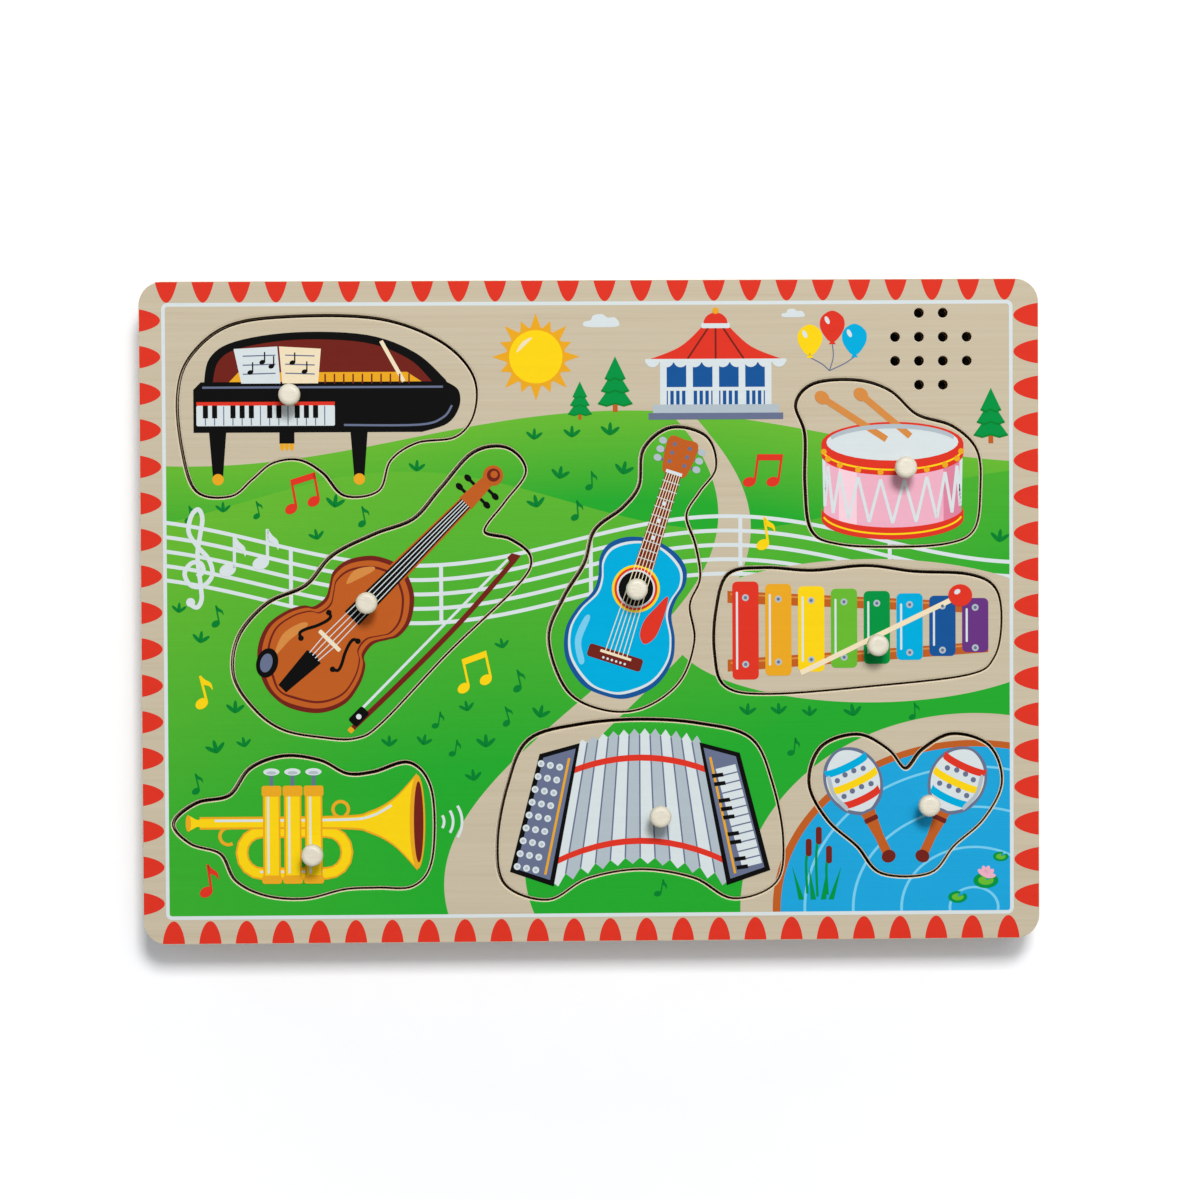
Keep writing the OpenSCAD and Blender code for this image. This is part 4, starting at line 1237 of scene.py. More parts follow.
def draw_xylophone():
    """Eight bars on two rails, with a beater."""
    s = Sketch()
    first, last = 45.6, 133
    peg_room = 4
    rails = ((4.6, 0.4), (-18.4, -12.6))
    for left, right in rails:
        s.fill("brown", [(first, left - 2), (last, right - 1.8), (last, right + 1.8), (first, left + 2)])
        s.line("tan", 0.6, [(46.6, left + 0.9), (132, right + 0.8)])
    bars = ("red", "gold", "yellow", "lime", "tree", "blue", "navy", "purple")
    for index, ink in enumerate(bars):
        x = 51.6 + 11 * index
        y = -6.7 + 0.2 * index
        half = 16.4 - 1.05 * index
        s.fill(ink, box(x - 4.4, y - half, x + 4.4, y + half, 1.6), 3)
        s.fill("white", box(x - 3.2, y - half + 3.4, x - 2.5, y + half - 3.4, 0.3), 4)
        for left, right in rails:
            rail = left + (right - left) * (x - first) / (last - first)
            if math.dist((x, rail), PEG_TOPS["xylophone"]) > peg_room:
                s.fill("grey", oval(x, rail, 1.15, count=16), 5)
                s.fill("slate", oval(x, rail, 0.55, count=12), 6)
    s.line("cream", 1.7, [(70, -21), (121, 3.4)], layer=6)
    s.fill("red", oval(123.6, 4.7, 4, 3.7), 7)
    s.fill("white", oval(122.6, 5.9, 1.1, 0.8, 30, 16), 7)
    return s


def draw_trumpet():
    """Brass trumpet with three valves."""
    s = Sketch()
    axis = -70
    loop = box(-117, -87, -82, -73, 6.8)
    s.line("gold", 4.2, loop + loop[:2], layer=1)
    s.line("yellow", 3.0, loop + loop[:2], layer=2)
    s.fill("yellow", [(-134.6, -67.4), (-132, -68.8), (-130, -68.8), (-130, -71.2), (-132, -71.2),
                      (-134.6, -72.6)], 5)
    s.fill("gold", oval(-134.8, axis, 0.9, 2.8), 6)
    upper = curve([(-131, -68.6), (-84, -68.4), (-74, -66.8), (-66, -62.4), (-58.5, -54.4)])
    for grow, ink, layer in ((0.7, "gold", 3), (0, "yellow", 4)):
        top = [(x, y + grow) for x, y in upper]
        s.fill(ink, top + [(x, 2 * axis - y) for x, y in reversed(top)], layer)
    s.fill("gold", oval(-58.4, axis, 2.6, 15.8), 5)
    s.fill("maroon", oval(-58, axis, 1.6, 13.6), 6)
    s.line("white", 0.8, curve([(-126, -69.2), (-84, -69.1), (-74, -68), (-67, -64.4)]), layer=5)
    s.line("white", 0.7, [(-111, -86.4), (-90, -86.4)], layer=3)
    for x in (-107, -100, -93):
        s.line("slate", 1.2, [(x, -58), (x, -53.6)], layer=5)
        s.fill("gold", box(x - 2.9, -89.6, x + 2.9, -58, 1.2), 5)
        s.fill("yellow", box(x - 2.3, -88.4, x + 2.3, -59.4, 0.8), 6)
        s.fill("white", box(x - 1.5, -87, x - 0.8, -61, 0.3), 7)
        s.fill("gold", box(x - 3.3, -61.2, x + 3.3, -57.6, 0.8), 7)
        s.fill("gold", box(x - 3.3, -90.4, x + 3.3, -87.6, 0.8), 7)
        s.fill("white", oval(x, -53, 2.7, 1.2), 7)
        s.fill("grey", oval(x, -53.3, 1.7, 0.6, count=16), 7)
    s.line("gold", 1.1, arc(-84, -65.6, 2.6, 2.6, -60, 250, 18), layer=3)
    s.line("gold", 1.1, arc(-121.5, -74.4, 2.8, 2.8, 80, 300, 18), layer=2)
    return s


def draw_accordion():
    """Accordion drawn open like a fan."""
    s = Sketch()
    x = 16
    folds = 12
    keys = 12
    columns = 3
    buttons = 9

    def edge(share):
        bow = 1 - (2 * share - 1) ** 2
        return ((x - 21 + 42 * share, -45 + 3.6 * bow), (x - 30 + 60 * share, -90 + 7.6 * bow))

    for fold in range(folds):
        first, second = edge(fold / folds), edge((fold + 1) / folds)
        ink = ("white", "grey")[fold % 2]
        crest = ((second[0][0] + first[0][0]) / 2, first[0][1] + 2.2)
        foot = ((second[1][0] + first[1][0]) / 2, min(first[1][1], second[1][1]) - 2)
        s.fill(ink, [first[0], first[1], foot, second[1], second[0], crest])
        s.line("slate", 0.5, list(first), layer=2)
        for low, high in ((0.16, 0.21), (0.84, 0.89)):
            band = ((first, low), (first, high), (second, high), (second, low))
            s.fill("red", [tuple(a + (b - a) * part for a, b in zip(*side)) for side, part in band], 2)
    for side in (-1, 1):
        def there(points):
            return [(x + side * along, y) for along, y in points]
        s.fill("black", there([(20, -44), (33.5, -47.6), (43.6, -87), (29, -92)]), 3)
        s.fill("slate", there([(21.4, -45.8), (32.2, -48.8), (41.6, -86), (30.2, -89.8)]), 4)
        s.line("gold", 0.8, there([(23.6, -49), (31.8, -88)]), layer=5)
        if side > 0:
            for key in range(keys):
                low, high = key / keys, (key + 0.84) / keys
                ends = [(x + 32 + 8.9 * part - reach, -51.4 - 33.6 * part - 0.24 * reach)
                        for part, reach in ((low, 0), (high, 0), (high, 6.6), (low, 6.6))]
                s.fill("white", ends, 6)
                if key % 7 not in (2, 6):
                    black_key = [(-1.4, -1.7), (2.4, -1.2), (2.7, -2.5), (-1.1, -3.0)]
                    s.fill("black", sized(black_key, *ends[3], 1), 7)
        else:
            for column in range(columns):
                step = (-1.02, -4.3)
                first = (x - 26.8 - 3.1 * column, -52 + 0.6 * column)
                s.row("white", oval(*first, 1.15, count=16), buttons, step, 6)
                s.row("grey", oval(*first, 0.55, count=12), buttons, step, 7)
    return s


def draw_maracas():
    """A pair of maracas that lean apart, with their handles down."""
    s = Sketch()
    for side, bands in ((-1, ("red", "yellow", "blue")), (1, ("blue", "yellow", "red"))):
        at = along_axis(105 + side * 5.4, -83.2, 90 - side * 25)
        s.fill("brown", at(both_sides([(0, 0), (0.2, 1.6), (8, 1.5), (16, 2.3), (19, 3), (19, 0)])), 1)
        s.fill("maroon", at(oval(0.6, 0, 2.1, 2.4)), 2)
        s.fill("maroon", at(box(13.6, -2.4, 15.2, 2.4, 0.4)), 3)
        half = [(17, 0), (17.4, 3.2), (21, 7.4), (27, 9.6), (33, 9), (38, 5.8), (40.4, 0)]
        s.fill("slate", at(smooth(both_sides(half))), 2)
        s.fill("white", at(smooth(both_sides(drawn_in(half, 0.9)))), 3)
        for along, reach, ink in zip((21.6, 27.6, 33.6), (6.8, 8.6, 7.6), bands):
            bow = [(along - 1.2 * math.cos(turn), reach * math.sin(turn))
                   for turn in [math.pi * (step / 12 - 0.5) for step in range(13)]]
            s.fill(ink, at(bow + [(a + 2.4, b) for a, b in reversed(bow)]), 4)
        for spot in (-5, -1.7, 1.7, 5):
            s.fill("slate", at(oval(25.7 - 0.02 * spot ** 2, spot, 0.9, count=16)), 5)
            s.fill("slate", at(oval(31.7 - 0.03 * spot ** 2, spot * 0.96, 0.9, count=16)), 5)
        shadow = [(20.6, 6.4), (27, 8.4), (33, 7.6), (33, 6.4), (27, 7.2), (21.6, 5.4)]
        s.fill("grey", at(smooth([(along, -side * out) for along, out in shadow])), 4)
    return s


# The park round the pieces

# Room in millimetres under the far hills' crest
HILL_ROOM = 3


def wave_at(name, along):
    """A wave of the layout at a place, both in millimetres."""
    wave = wave_sizes(name)
    swing = math.cos(math.tau * (along * MM - wave["crest"]) / wave["wave"])
    return (wave["mean"] + wave["rise"] * swing) / MM


def in_oval(name, x, y, room):
    """Whether a place lies in an oval of the layout, widened by some room in millimetres."""
    at, half = oval_sizes(name)
    reach = [size / MM + room for size in half]
    return math.hypot((x - at[0] / MM) / reach[0], (y - at[1] / MM) / reach[1]) < 1


def on_grass(x, y, room):
    """Whether a place with some room round it lies on open grass."""
    plan = layout()
    reach = [(half - gap) / MM - room for half, gap in zip((HALF_W, HALF_D), sizes().line_inset)]
    if abs(x) > reach[0] or abs(y) > reach[1] or y > wave_at("far", x) - room - HILL_ROOM:
        return False
    if abs(y - wave_at("staff", x)) < 2 * plan.staff_gap / MM + room:
        return False
    share = (plan.far_mean / MM - y) / (plan.far_mean / MM + HALF_D / MM)
    path_half = (plan.path_head + (plan.path_foot - plan.path_head) * share) / MM
    if abs(x - wave_at("path", y)) < path_half + room:
        return False
    bank = (plan.lake_rim + plan.lake_bank) / MM
    return not (in_oval("terrace", x, y, room) or in_oval("lake", x, y, bank + room))


def inside_loop(loop, x, y):
    """Whether a place lies inside a closed loop of points in millimetres."""
    crossings = 0
    for (x0, y0), (x1, y1) in round_pairs(loop):
        if (y0 > y) != (y1 > y) and x < x0 + (x1 - x0) * (y - y0) / (y1 - y0):
            crossings += 1
    return crossings % 2 == 1


def clear_of_pieces(outlines, x, y, room):
    """Whether a place is outside all pieces and at some distance from their cuts."""
    for loop in outlines:
        if inside_loop(loop, x, y) or min(math.hypot(x - a, y - b) for a, b in loop) < room:
            return False
    return True


def set_down(shapes, x, y, size, degrees):
    """Outlines scaled, turned and set at a place."""
    at = along_axis(x, y, degrees)
    return [at(sized(shape, 0, 0, size)) for shape in shapes]


def note_shapes(x, y, size, degrees=0):
    """Head, stem and flag of a quaver."""
    shapes = (oval(0, 0, 1.9, 1.4, 22, 20), box(1.15, 0.4, 1.85, 7.6),
              smooth([(1.5, 7.6), (2.6, 6.2), (3.9, 4.9), (3.9, 2.9), (3.2, 4.2), (1.6, 5.2)], steps=3))
    return set_down(shapes, x, y, size, degrees)


def pair_shapes(x, y, size, degrees=0):
    """Heads, stems and beam of two joined quavers."""
    shapes = (oval(-3.4, -0.5, 1.9, 1.4, 22, 20), oval(3.4, 0.5, 1.9, 1.4, 22, 20),
              box(-2.2, -0.2, -1.5, 7.2), box(4.6, 0.8, 5.3, 8.4),
              [(-2.2, 6), (5.3, 7), (5.3, 8.8), (-2.2, 7.8)])
    return set_down(shapes, x, y, size, degrees)


def draw_sun(s, x, y):
    """A plain sun with rays."""
    rays = 16
    for ray in range(rays):
        at = along_axis(x, y, ray * 360 / rays)
        reach = 14.6 if ray % 2 == 0 else 12.8
        s.fill("gold", at([(8.5, -2.1), (reach, 0), (8.5, 2.1)]), 1)
    s.fill("gold", oval(x, y, 9.9), 2)
    s.fill("yellow", oval(x, y, 8.9), 3)
    shine = [(-6.4, 1.4), (-4.6, 4.8), (-1.2, 6.5), (-3.2, 4.2)]
    s.fill("cream", smooth(sized(shine, x, y, 1)), 4)


def draw_cloud(s, x, y, size):
    """A flat-bottomed cloud."""
    lumps = [(-9, 0), (-9.6, 2.4), (-6, 3.4), (-4.4, 6), (0.2, 6.6), (3.2, 4.8), (7, 4.8), (9.4, 2),
             (8.4, 0), (0, -0.4)]
    s.fill("white", smooth(sized(lumps, x, y, size)), 1)


def draw_fir(s, x, y, size):
    """A fir of three tiers."""
    s.fill("brown", box(x - 0.9 * size, y, x + 0.9 * size, y + 4 * size), 1)
    for tier, (half, low, high) in enumerate(((6.4, 3.2, 12), (5.2, 8, 16.4), (3.8, 12.6, 20.6))):
        hem = [(-half, low), (-half * 0.5, low - 0.9), (0, low), (half * 0.5, low - 0.9), (half, low)]
        s.fill("tree", sized([(0, high)] + hem, x, y, size), 2 + tier)
        s.line("leaf", 0.7 * size, sized(hem, x, y, size), layer=3 + tier)


def draw_bandstand(s, x, y):
    """An open bandstand with a red roof."""
    s.fill("grey", box(x - 21, y, x + 21, y + 3.4), 2)
    s.fill("slate", box(x - 22.5, y - 1.6, x + 22.5, y + 0.6), 2)
    s.fill("navy", box(x - 17.5, y + 3.4, x + 17.5, y + 18), 1)
    s.row("white", box(x - 18.6, y + 3.4, x - 16.4, y + 18), 5, (8.75, 0), 3)
    s.row("white", box(x - 16, y + 3.4, x - 15.2, y + 8.4), 17, (1.95, 0), 3)
    s.fill("white", box(x - 18, y + 8, x + 18, y + 9.2), 4)
    roof = curve([(x - 23.5, y + 18), (x - 12, y + 22.6), (x - 4.4, y + 29.4)])
    s.fill("red", roof + [(2 * x - a, b) for a, b in reversed(roof)], 4)
    s.line("maroon", 0.6, [(x, y + 29), (x, y + 18.6)], [(x - 2.4, y + 29), (x - 9.4, y + 18.6)],
           [(x + 2.4, y + 29), (x + 9.4, y + 18.6)], layer=5)
    s.row("white", arc(x - 21.1, y + 18.2, 2.35, 2.4, 180, 360, 10), 10, (4.69, 0), 5)
    s.fill("white", box(x - 23.6, y + 17.4, x + 23.6, y + 18.6), 6)
    s.fill("white", box(x - 4.8, y + 28.8, x + 4.8, y + 30.6, 0.6), 5)
    s.fill("red", arc(x, y + 30.4, 4, 3.6, 0, 180), 5)
    s.fill("gold", oval(x, y + 34.6, 1.1, count=16), 6)


def draw_balloon(s, x, y, ink, knot):
    """A balloon on a string that ends at a knot."""
    skin = [(0, 5), (3.6, 2.8), (3.9, -1), (1.2, -5), (-1.2, -5), (-3.9, -1), (-3.6, 2.8)]
    s.fill(ink, smooth(sized(skin, x, y, 1)), 3)
    s.fill(ink, [(x - 1.2, y - 6.2), (x + 1.2, y - 6.2), (x, y - 4.4)], 3)
    s.fill("white", oval(x - 1.7, y + 1.8, 0.7, 1.4, 25, 16), 4)
    slack = ((x + knot[0]) / 2 + 0.8, (y + knot[1]) / 2 - 3)
    s.line("slate", 0.35, curve([(x, y - 6), slack, knot]), layer=2)


def draw_sky():
    """Sun, clouds, bandstand, firs and balloons."""
    s = Sketch()
    draw_sun(s, -18, 85)
    draw_cloud(s, 4, 95, 0.62)
    draw_cloud(s, 68, 98, 0.4)
    draw_fir(s, 8.4, 66.5, 0.9)
    draw_fir(s, -3.4, 64, 0.62)
    draw_fir(s, 134, 55.5, 0.9)
    draw_bandstand(s, 42, 65.5)
    for x, y, ink in ((73.5, 90.4, "yellow"), (81, 95, "red"), (88.4, 90.6, "blue")):
        draw_balloon(s, x, y, ink, (80, 80))
    return s


# Large notes: place, ink and turn
PAIRS = ((-39, -24, "yellow", 12), (57, 43, "red", -8), (-96, 36, "red", 10))
SINGLES = ((57.5, 22, "yellow", 8), (-130, -30, "yellow", 14), (-129, -93, "red", 8))


def draw_music():
    """Clef and notes on the staff, large notes and sound waves."""
    s = Sketch()
    gap = layout().staff_gap / MM
    x = -131.5
    y = wave_at("staff", x) - gap
    clef = [(0.05, -0.4), (0.5, -0.05), (0.3, 0.52), (-0.35, 0.5), (-0.8, -0.2), (-0.4, -1), (0.45, -1.08),
            (1.12, -0.3), (0.86, 0.8), (0.05, 1.75), (-0.5, 2.7), (-0.3, 3.8), (0.18, 4.25), (0.46, 3.6),
            (0.28, 2.4), (0.1, 1), (0.3, -1), (0.36, -2), (0.05, -2.55), (-0.42, -2.35)]
    s.line("white", 1.5, curve(sized(clef, x, y, gap)), layer=3)
    s.fill("white", oval(x - 0.4 * gap, y - 2.2 * gap, 1.5), 4)
    for place_x, line in ((-121, -0.5), (-110, 0.5)):
        for shape in note_shapes(place_x, wave_at("staff", place_x) + line * gap, 1.5):
            s.fill("white", shape, 4)
    for shapes, size, spots in ((pair_shapes, 1.15, PAIRS), (note_shapes, 1.2, SINGLES)):
        for place_x, place_y, ink, turn in spots:
            for shape in shapes(place_x, place_y, size, turn):
                s.fill(ink, shape, 4)
    for radius in (4, 7, 10):
        s.line("white", 0.9, arc(-53.5, -70, radius, radius, -32, 32), layer=3)
    return s


def draw_lake():
    """Lily pads and rushes."""
    s = Sketch()
    for x, y, size in ((132, -91, 4.2), (122.5, -96.5, 3.2), (137, -83, 2.6)):
        pad = arc(x, y, size, size * 0.62, 70, 400, 26) + [(x, y)]
        s.fill("tree", pad, 2)
        s.fill("lime", arc(x, y, size * 0.62, size * 0.36, 80, 390, 20) + [(x, y)], 3)
    for turn in range(0, 180, 36):
        s.fill("pink", oval(*on_oval(132, -89.4, 1.3, 1.5, turn), 0.9, 2, turn - 90, 16), 4)
    for x, y, tall in ((72, -95, 17), (75.4, -96, 22), (78.8, -95.4, 15)):
        s.line("tree", 0.8, curve([(x, y), (x - 0.4, y + tall * 0.6), (x + 0.6, y + tall)]), layer=2)
        s.fill("maroon", box(x - 0.5, y + tall - 4.5, x + 1.5, y + tall + 1.4, 0.9), 3)
    for x, reach in ((70, -3), (74, -1.4), (77.4, 1.4), (80, 3.4)):
        s.fill("tree", [(x - 0.9, -97), (x + 0.9, -97), (x + reach, -86)], 3)
    return s


# Sprigs and small notes on the grass: their least and most size, and in millimetres their grid and the room
# round each of them
MEADOW_SIZES = (0.85, 1.15)
MEADOW_SEED = 11
MEADOW_PITCH = 11.5
MEADOW_STRAY = 2
MEADOW_COLUMNS = range(-12, 13)
MEADOW_ROWS = range(-9, 9)
GRASS_ROOM = 3.0
CUT_ROOM = 5.0
NOTE_ROOM = 11
NOTE_MIDDLE = 3
NOTE_EVERY = 3


def meadow_spots():
    """Places on the open grass, strayed from a staggered grid."""
    outlines = [[(x / MM, y / MM) for x, y in piece_rim(name)] for name in INSTRUMENTS]
    chance = random.Random(MEADOW_SEED)
    spots = []
    for column in MEADOW_COLUMNS:
        for row in MEADOW_ROWS:
            x = (column + 0.5 * (row % 2)) * MEADOW_PITCH + chance.uniform(-MEADOW_STRAY, MEADOW_STRAY)
            y = row * MEADOW_PITCH + chance.uniform(-MEADOW_STRAY, MEADOW_STRAY)
            to_note = min(math.hypot(x - note[0], y - NOTE_MIDDLE - note[1]) for note in PAIRS + SINGLES)
            clear = to_note > NOTE_ROOM and clear_of_pieces(outlines, x, y, CUT_ROOM)
            if clear and on_grass(x, y, GRASS_ROOM):
                spots.append((x, y))
    return spots


def scatter(name, shapes, points, seed, turn):
    """Scatters a stamp of several outlines over places on the board."""
    measure = sizes()
    bm = bmesh.new()
    for order, shape in enumerate(shapes):
        add_prism(bm, shape, -measure.film_root, measure.film_height + measure.film_lap * order)
    stamp = in_scene("stamp", mesh_from(bm, "stamp"))
    spots = bpy.data.meshes.new("spots")
    spots.from_pydata([(x * MM, y * MM, TOP_LEVEL) for x, y in points], [], [])
    least, most = MEADOW_SIZES
    made = grown(stamp_scatter(), spots, Stamp=stamp, Turn=math.radians(turn), Least=least, Most=most,
                 Seed=seed, Material=ink_material("leaf"))
    bpy.data.objects.remove(stamp)
    made.name = name
    new_object(name, made, "board")


# Operators


class PuzzleStep:
    """What the operators share."""

    bl_options = {"REGISTER", "UNDO"}


def coat(material, *nodes):
    """Gives solids that are shown as they are a material."""
    for node in nodes:
        for slot in NODES[node].material_slots:
            slot.material = material


def coat_specked(**nodes):
    """Gives solids that are shown as they are their specked finishes, by the finish's name."""
    for finish, names in nodes.items():
        coat(specked(finish), *names)


class PUZZLE_OT_face_panel(PuzzleStep, bpy.types.Operator):
    """Build the face panel with eased cut-outs and sound holes"""

    bl_idname = "puzzle.face_panel"
    bl_label = "Face panel"

    def execute(self, context):
        measure = sizes()
        loops = sorted(rim_loops("face_panel", TOP_LEVEL), key=rim_length, reverse=True)
        rounds = [measure.rim_round] + [measure.recess_round] * len(INSTRUMENTS)
        rounds += [measure.hole_round] * (len(loops) - len(rounds))
        mesh = eased_slab("face_panel_eased", zip(loops, rounds), FLOOR_LEVEL)
        panel = new_object("printed_face_panel", mesh, "board")
        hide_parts("face_panel")
        return {"FINISHED"}


class PUZZLE_OT_pieces(PuzzleStep, bpy.types.Operator):
    """Build the eight pieces with eased top edges"""

    bl_idname = "puzzle.pieces"
    bl_label = "Pieces"

    def execute(self, context):
        measure = sizes()
        for name in INSTRUMENTS:
            rims = [(piece_rim(name), measure.piece_round)]
            mesh = eased_slab(f"{name}_eased", rims, FLOOR_LEVEL + measure.piece_lift)
            piece = new_object(f"printed_{name}_piece", mesh, name)
            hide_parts(f"{name}_piece")
        return {"FINISHED"}


class PUZZLE_OT_pegs(PuzzleStep, bpy.types.Operator):
    """Finish the turned pegs in pale beech"""

    bl_idname = "puzzle.pegs"
    bl_label = "Pegs"

    def execute(self, context):
        beech = plain_wood("peg_beech", "peg_light", "peg_dark", along=160.0, across=900.0, rough=0.42)
        coat(beech, *[f"{name}_peg" for name in INSTRUMENTS])
        return {"FINISHED"}


class PUZZLE_OT_border(PuzzleStep, bpy.types.Operator):
    """Print the border of half ovals along the four edges"""

    bl_idname = "puzzle.border"
    bl_label = "Border marks"

    def execute(self, context):
        measure = sizes()
        red = ink_material("red")
        bm = bmesh.new()
        for side, (width, depth, shift, taper) in enumerate(
                zip(measure.mark_width, measure.mark_depth, measure.mark_shift, measure.mark_taper)):
            long_side = side % 2 == 0
            reach = (HALF_D if long_side else HALF_W) - measure.rim_round
            row = grown(half_oval_row(), bpy.data.meshes.new("row"), Material=red, Pitch=measure.mark_pitch,
                        Count=measure.marks_long if long_side else measure.marks_short,
                        Width=width, Depth=depth, Taper=taper,
                        Height=measure.film_height + measure.film_root)
            way = Matrix.Rotation(math.radians(90 * side), 4, "Z")
            row.transform(way @ Matrix.Translation((shift, -reach, TOP_LEVEL - measure.film_root)))
            bm.from_mesh(row)
            bpy.data.meshes.remove(row)
        new_object("border_marks", mesh_from(bm, "border_marks", red), "board")
        return {"FINISHED"}


class PUZZLE_OT_park(PuzzleStep, bpy.types.Operator):
    """Print the park round the pieces: sky, music, lake, notes and sprigs on the grass"""

    bl_idname = "puzzle.park"
    bl_label = "Park"

    def execute(self, context):
        drawings = {"sky_print": draw_sky, "music_print": draw_music, "lake_print": draw_lake}
        for name, drawing in drawings.items():
            drawing().film(name, TOP_LEVEL, "board", "printed_face")
        spots = meadow_spots()
        sprig = [oval(*on_oval(0, 0, 1.7, 1.9, turn), 2.0, 0.62, turn, 14) for turn in (40, 90, 140)]
        scatter("meadow_notes", note_shapes(-1, -2.6, 0.72), spots[::NOTE_EVERY], seed=3, turn=16)
        others = [spot for index, spot in enumerate(spots) if index % NOTE_EVERY]
        scatter("meadow_sprigs", sprig, others, seed=8, turn=14)
        return {"FINISHED"}


class PUZZLE_OT_instruments(PuzzleStep, bpy.types.Operator):
    """Print the instruments on their pieces and in their recesses"""

    bl_idname = "puzzle.instruments"
    bl_label = "Instruments"

    def execute(self, context):
        drawings = (draw_piano, draw_violin, draw_guitar, draw_drum, draw_xylophone, draw_trumpet,
                    draw_accordion, draw_maracas)
        for name, drawing in zip(INSTRUMENTS, drawings):
            print_piece(name, drawing())
        return {"FINISHED"}


# A sensor window from its middle outwards: radius and height over the floor panel, in millimetres
LENS_PROFILE = ((0, 0.1), (1.2, 0.08), (2.0, 0.02), (2.35, -0.1))
BEZEL_PROFILE = ((2.4, 0.14), (2.55, 0.17), (2.9, 0.17), (3.1, 0.08), (3.12, -0.02), (2.38, -0.25))
WINDOW_SIDES = 28
WINDOW_CREASE = math.radians(40)


class PUZZLE_OT_windows(PuzzleStep, bpy.types.Operator):
    """Set a dark lens with a bezel in each sensor window"""

    bl_idname = "puzzle.windows"
    bl_label = "Sensor windows"

    def execute(self, context):
        coat_specked(sensor_lens=[f"{name}_sensor" for name in INSTRUMENTS])
        bm = bmesh.new()
        for name in INSTRUMENTS:
            rings = []
            for radius, rise in LENS_PROFILE + BEZEL_PROFILE:
                spots = oval(*PEG_TOPS[name], radius, count=WINDOW_SIDES) if radius else [PEG_TOPS[name]]
                rings.append([bm.verts.new((x * MM, y * MM, FLOOR_LEVEL + rise * MM)) for x, y in spots])
            for ring, (upper, lower) in enumerate(zip(rings, rings[1:]), start=1):
                if len(upper) == 1:
                    upper = upper * WINDOW_SIDES
                for (a, b), (c, d) in zip(round_pairs(upper), round_pairs(lower)):
                    face = bm.faces.new(list(dict.fromkeys((a, c, d, b))))
                    face.material_index = int(ring >= len(LENS_PROFILE))
                    face.smooth = True
            bm.faces.new(rings[-1][::-1])
        mesh = mesh_from(bm, "sensor_windows", specked("sensor_lens"), specked("black_plastic"))
        mesh.set_sharp_from_angle(angle=WINDOW_CREASE)
        new_object("sensor_windows", mesh, "board")
        return {"FINISHED"}


class PUZZLE_OT_wooden_box(PuzzleStep, bpy.types.Operator):
    """Finish the floor panel, rails, blocks and back cover"""

    bl_idname = "puzzle.wooden_box"
    bl_label = "Wooden box"

    def execute(self, context):
        coat(floor_ply(), "floor_panel")
        pine = {"light": "edge_light", "dark": "edge_rail", "along": 10.0, "across": 420.0, "rough": 0.6}
        coat(plain_wood("core_pine", **pine), "front_rail", "rear_rail", "support_blocks", "speaker_clips")
        coat(plain_wood("side_pine", **pine, turn=90), "left_rail", "right_rail")
        coat_specked(hardboard=["back_cover"])
        return {"FINISHED"}


class PUZZLE_OT_hardware(PuzzleStep, bpy.types.Operator):
    """Finish screws, contacts and springs in plated steel"""

    bl_idname = "puzzle.hardware"
    bl_label = "Screws and contacts"

    def execute(self, context):
        coat_specked(zinc_steel=["back_cover_screws", "board_screws", "door_screw"],
                     nickel_steel=["battery_springs", "battery_contacts"])
        return {"FINISHED"}


class PUZZLE_OT_speaker(PuzzleStep, bpy.types.Operator):
    """Finish the speaker"""

    bl_idname = "puzzle.speaker"
    bl_label = "Speaker"

    def execute(self, context):
        coat_specked(cone_paper=["speaker_cone"], soft_rubber=["speaker_surround", "speaker_gasket"],
                     plated_basket=["speaker_basket"], ground_ferrite=["speaker_magnet"])
        return {"FINISHED"}


class PUZZLE_OT_electronics(PuzzleStep, bpy.types.Operator):
    """Finish the sound board, its parts and the leads"""

    bl_idname = "puzzle.electronics"
    bl_label = "Sound board"

    def execute(self, context):
        coat_specked(solder_mask=["sound_board"], potting_resin=["sound_chip"], black_epoxy=["board_parts"],
                     white_nylon=["board_spacers"], red_sleeve=["sensor_leads", "battery_leads"],
                     black_sleeve=["speaker_leads"])
        return {"FINISHED"}


class PUZZLE_OT_battery_bay(PuzzleStep, bpy.types.Operator):
    """Finish the battery bay, cells, door and switch, and print the switch's marks"""

    bl_idname = "puzzle.battery_bay"
    bl_label = "Battery bay and switch"

    def execute(self, context):
        coat_specked(black_plastic=["battery_box", "battery_door", "switch_body"],
                     slider_plastic=["switch_slider"], cell_sleeve=["upper_cell", "lower_cell"])
        low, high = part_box("switch_slider")
        x, y = [value / MM for value in ((low + high) / 2)[:2]]
        marks = Sketch()
        marks.fill("white", box(x + 1.1, y - 12.2, x + 1.9, y - 8.6), 1)
        ring = oval(x - 2.4, y - 10.4, 1.55)
        marks.line("white", 0.7, ring + ring[:2], layer=1)
        marks.film("switch_marks", BACK_LEVEL, "board", "back_board", side=-1)
        return {"FINISHED"}


# Stage

# Two close linear whites of the floor, its specks in a metre, and the cool colour of its glow
FLOOR_LIGHT = (0.985, 0.985, 0.985, 1)
FLOOR_DARK = (0.975, 0.975, 0.975, 1)
FLOOR_SPECKS = 60.0
FLOOR_GLOW = (0.6, 0.77, 1, 1)


def background_rays(tree):
    """1 for rays that show the background: camera, glossy and transmission rays."""
    path = put(tree, "ShaderNodeLightPath")
    rays = [Signal(path, f"Is {kind} Ray") for kind in ("Camera", "Glossy", "Transmission")]
    return rays[0] | rays[1] | rays[2]


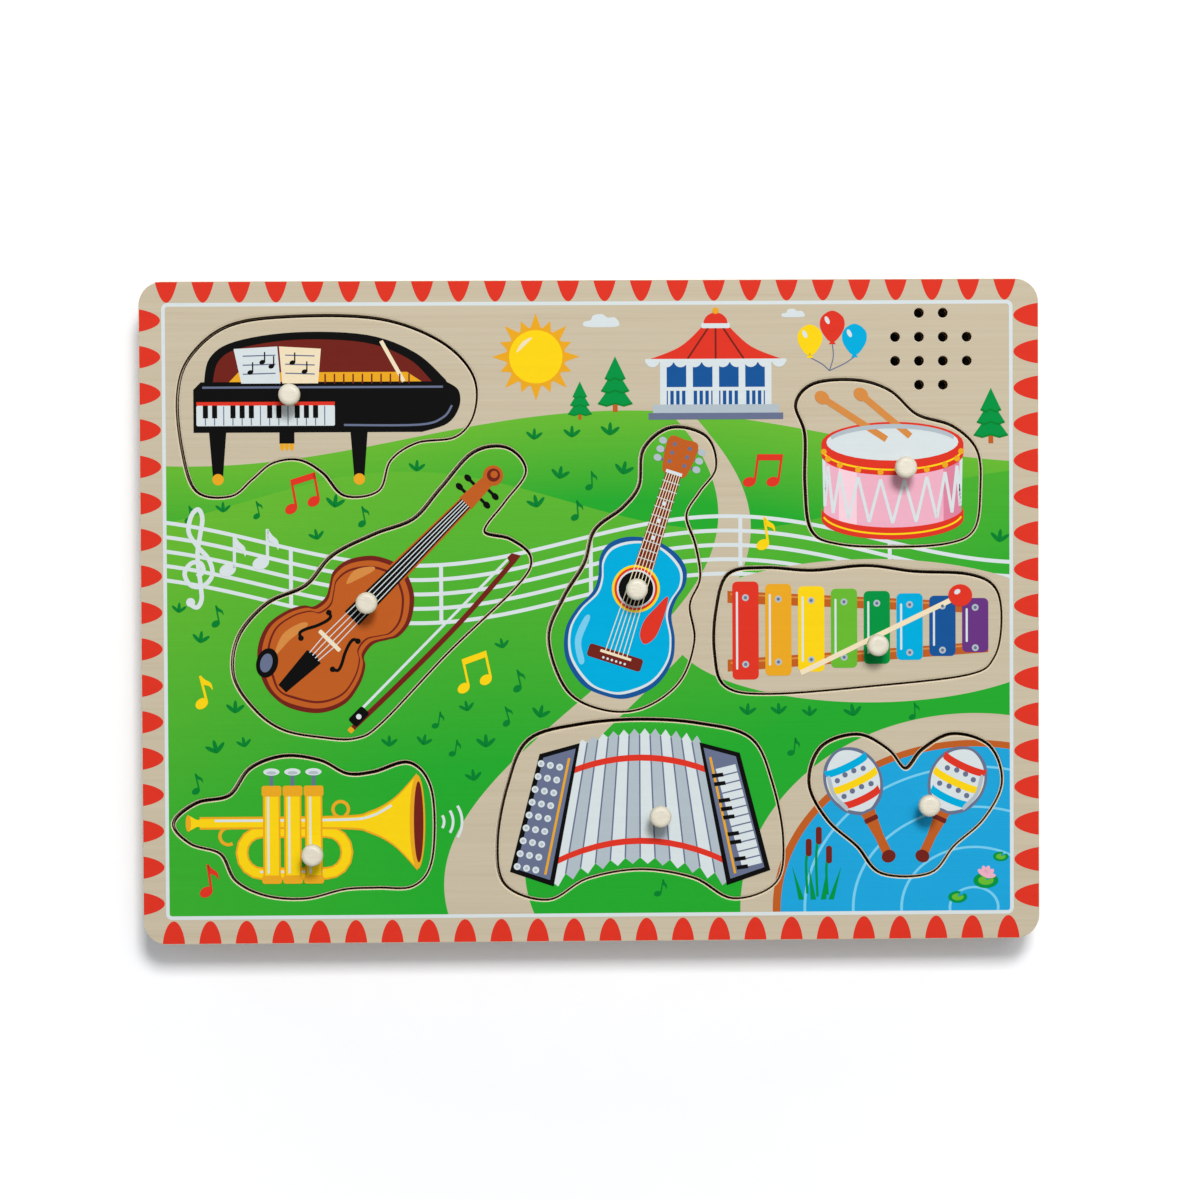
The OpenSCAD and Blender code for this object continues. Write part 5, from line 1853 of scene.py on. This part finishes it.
def white_floor(setup):
    """White floor that keeps the shadow and turns plain white away from the board."""
    made, tree, shader, vector = new_material("white_floor")
    shade, _ = use(tree, speckle(), vector=vector, light=FLOOR_LIGHT, dark=FLOOR_DARK, scale=FLOOR_SPECKS)
    away = out_of(tree, "ShaderNodeVectorMath", {0: vector}, "Value", operation="LENGTH")
    glow = spread(away, *setup.floor_fade) + setup.floor_glow
    feed(shader, {"Base Color": shade, "Roughness": 0.9, "Specular IOR Level": 0.0,
                  "Emission Color": FLOOR_GLOW, "Emission Strength": background_rays(tree) * glow})
    return made


def white_room(setup):
    """A world that lights softly from all round and is seen as white."""
    world = bpy.data.worlds.new("white_room")
    world.use_nodes = True
    tree = world.node_tree
    tree.nodes.clear()
    strength = calc("MULTIPLY_ADD", background_rays(tree), 1 - setup.fill_level, setup.fill_level)
    light = out_of(tree, "ShaderNodeBackground", {"Color": (1, 1, 1, 1), "Strength": strength})
    put(tree, "ShaderNodeOutputWorld", {"Surface": light})
    return world


class PUZZLE_OT_stage(PuzzleStep, bpy.types.Operator):
    """Set the white floor, the soft light and the camera over the board"""

    bl_idname = "puzzle.stage"
    bl_label = "Stage"

    def execute(self, context):
        scene = context.scene
        setup = scene.puzzle_studio
        scene.view_settings.view_transform = "Standard"
        scene.world = white_room(setup)

        half = setup.floor_half
        under = BACK_LEVEL - setup.floor_gap
        mesh = bpy.data.meshes.new("floor")
        mesh.from_pydata([(x, y, under) for x, y in box(-half, -half, half, half)], [], [(0, 1, 2, 3)])
        mesh.materials.append(white_floor(setup))
        floor = in_scene("floor", mesh)

        for name in ("key", "side"):
            lamp = bpy.data.lights.new(name, "AREA")
            lamp.energy = getattr(setup, f"{name}_power")
            lamp.size = getattr(setup, f"{name}_size")
            light = in_scene(name, lamp)
            light.location = getattr(setup, f"{name}_at")
            light.rotation_euler = (-light.location).to_track_quat("-Z", "Y").to_euler()

        camera = in_scene("camera", bpy.data.cameras.new("camera"))
        camera.data.lens = setup.camera_lens
        camera.data.sensor_width = setup.camera_sensor
        camera.location = setup.camera_at
        camera.rotation_euler = setup.camera_turn
        scene.camera = camera
        return {"FINISHED"}


GROUPS = {"puzzle_sizes": PuzzleSizes, "puzzle_layout": PictureLayout, "puzzle_colours": PuzzleColours,
          "puzzle_studio": StudioSetup}
STEPS = (PUZZLE_OT_stage, PUZZLE_OT_face_panel, PUZZLE_OT_pieces, PUZZLE_OT_pegs, PUZZLE_OT_border,
         PUZZLE_OT_park, PUZZLE_OT_instruments, PUZZLE_OT_windows, PUZZLE_OT_wooden_box, PUZZLE_OT_hardware,
         PUZZLE_OT_speaker, PUZZLE_OT_electronics, PUZZLE_OT_battery_bay)


class PUZZLE_PT_panel(bpy.types.Panel):
    """The puzzle's steps and settings."""

    bl_idname = "PUZZLE_PT_panel"
    bl_label = "Sound Puzzle"
    bl_space_type = "VIEW_3D"
    bl_region_type = "UI"
    bl_category = "Sound Puzzle"

    def draw(self, context):
        for step in STEPS:
            self.layout.operator(step.bl_idname)
        for name, group in GROUPS.items():
            settings = getattr(context.scene, name)
            section = self.layout.box()
            for key in group.__annotations__:
                section.prop(settings, key)


def register():
    """Registers the settings, the steps and the panel."""
    for group in (*GROUPS.values(), *STEPS, PUZZLE_PT_panel):
        bpy.utils.register_class(group)
    for name, group in GROUPS.items():
        setattr(bpy.types.Scene, name, PointerProperty(type=group))


def unregister():
    """Takes the settings, the steps and the panel away again."""
    for name in GROUPS:
        delattr(bpy.types.Scene, name)
    for group in (PUZZLE_PT_panel, *reversed(STEPS), *GROUPS.values()):
        bpy.utils.unregister_class(group)


def main():
    """Registers the add-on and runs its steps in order."""
    register()
    for step in STEPS:
        getattr(bpy.ops.puzzle, step.bl_idname.split(".")[1])()


if __name__ == "__main__":
    main()
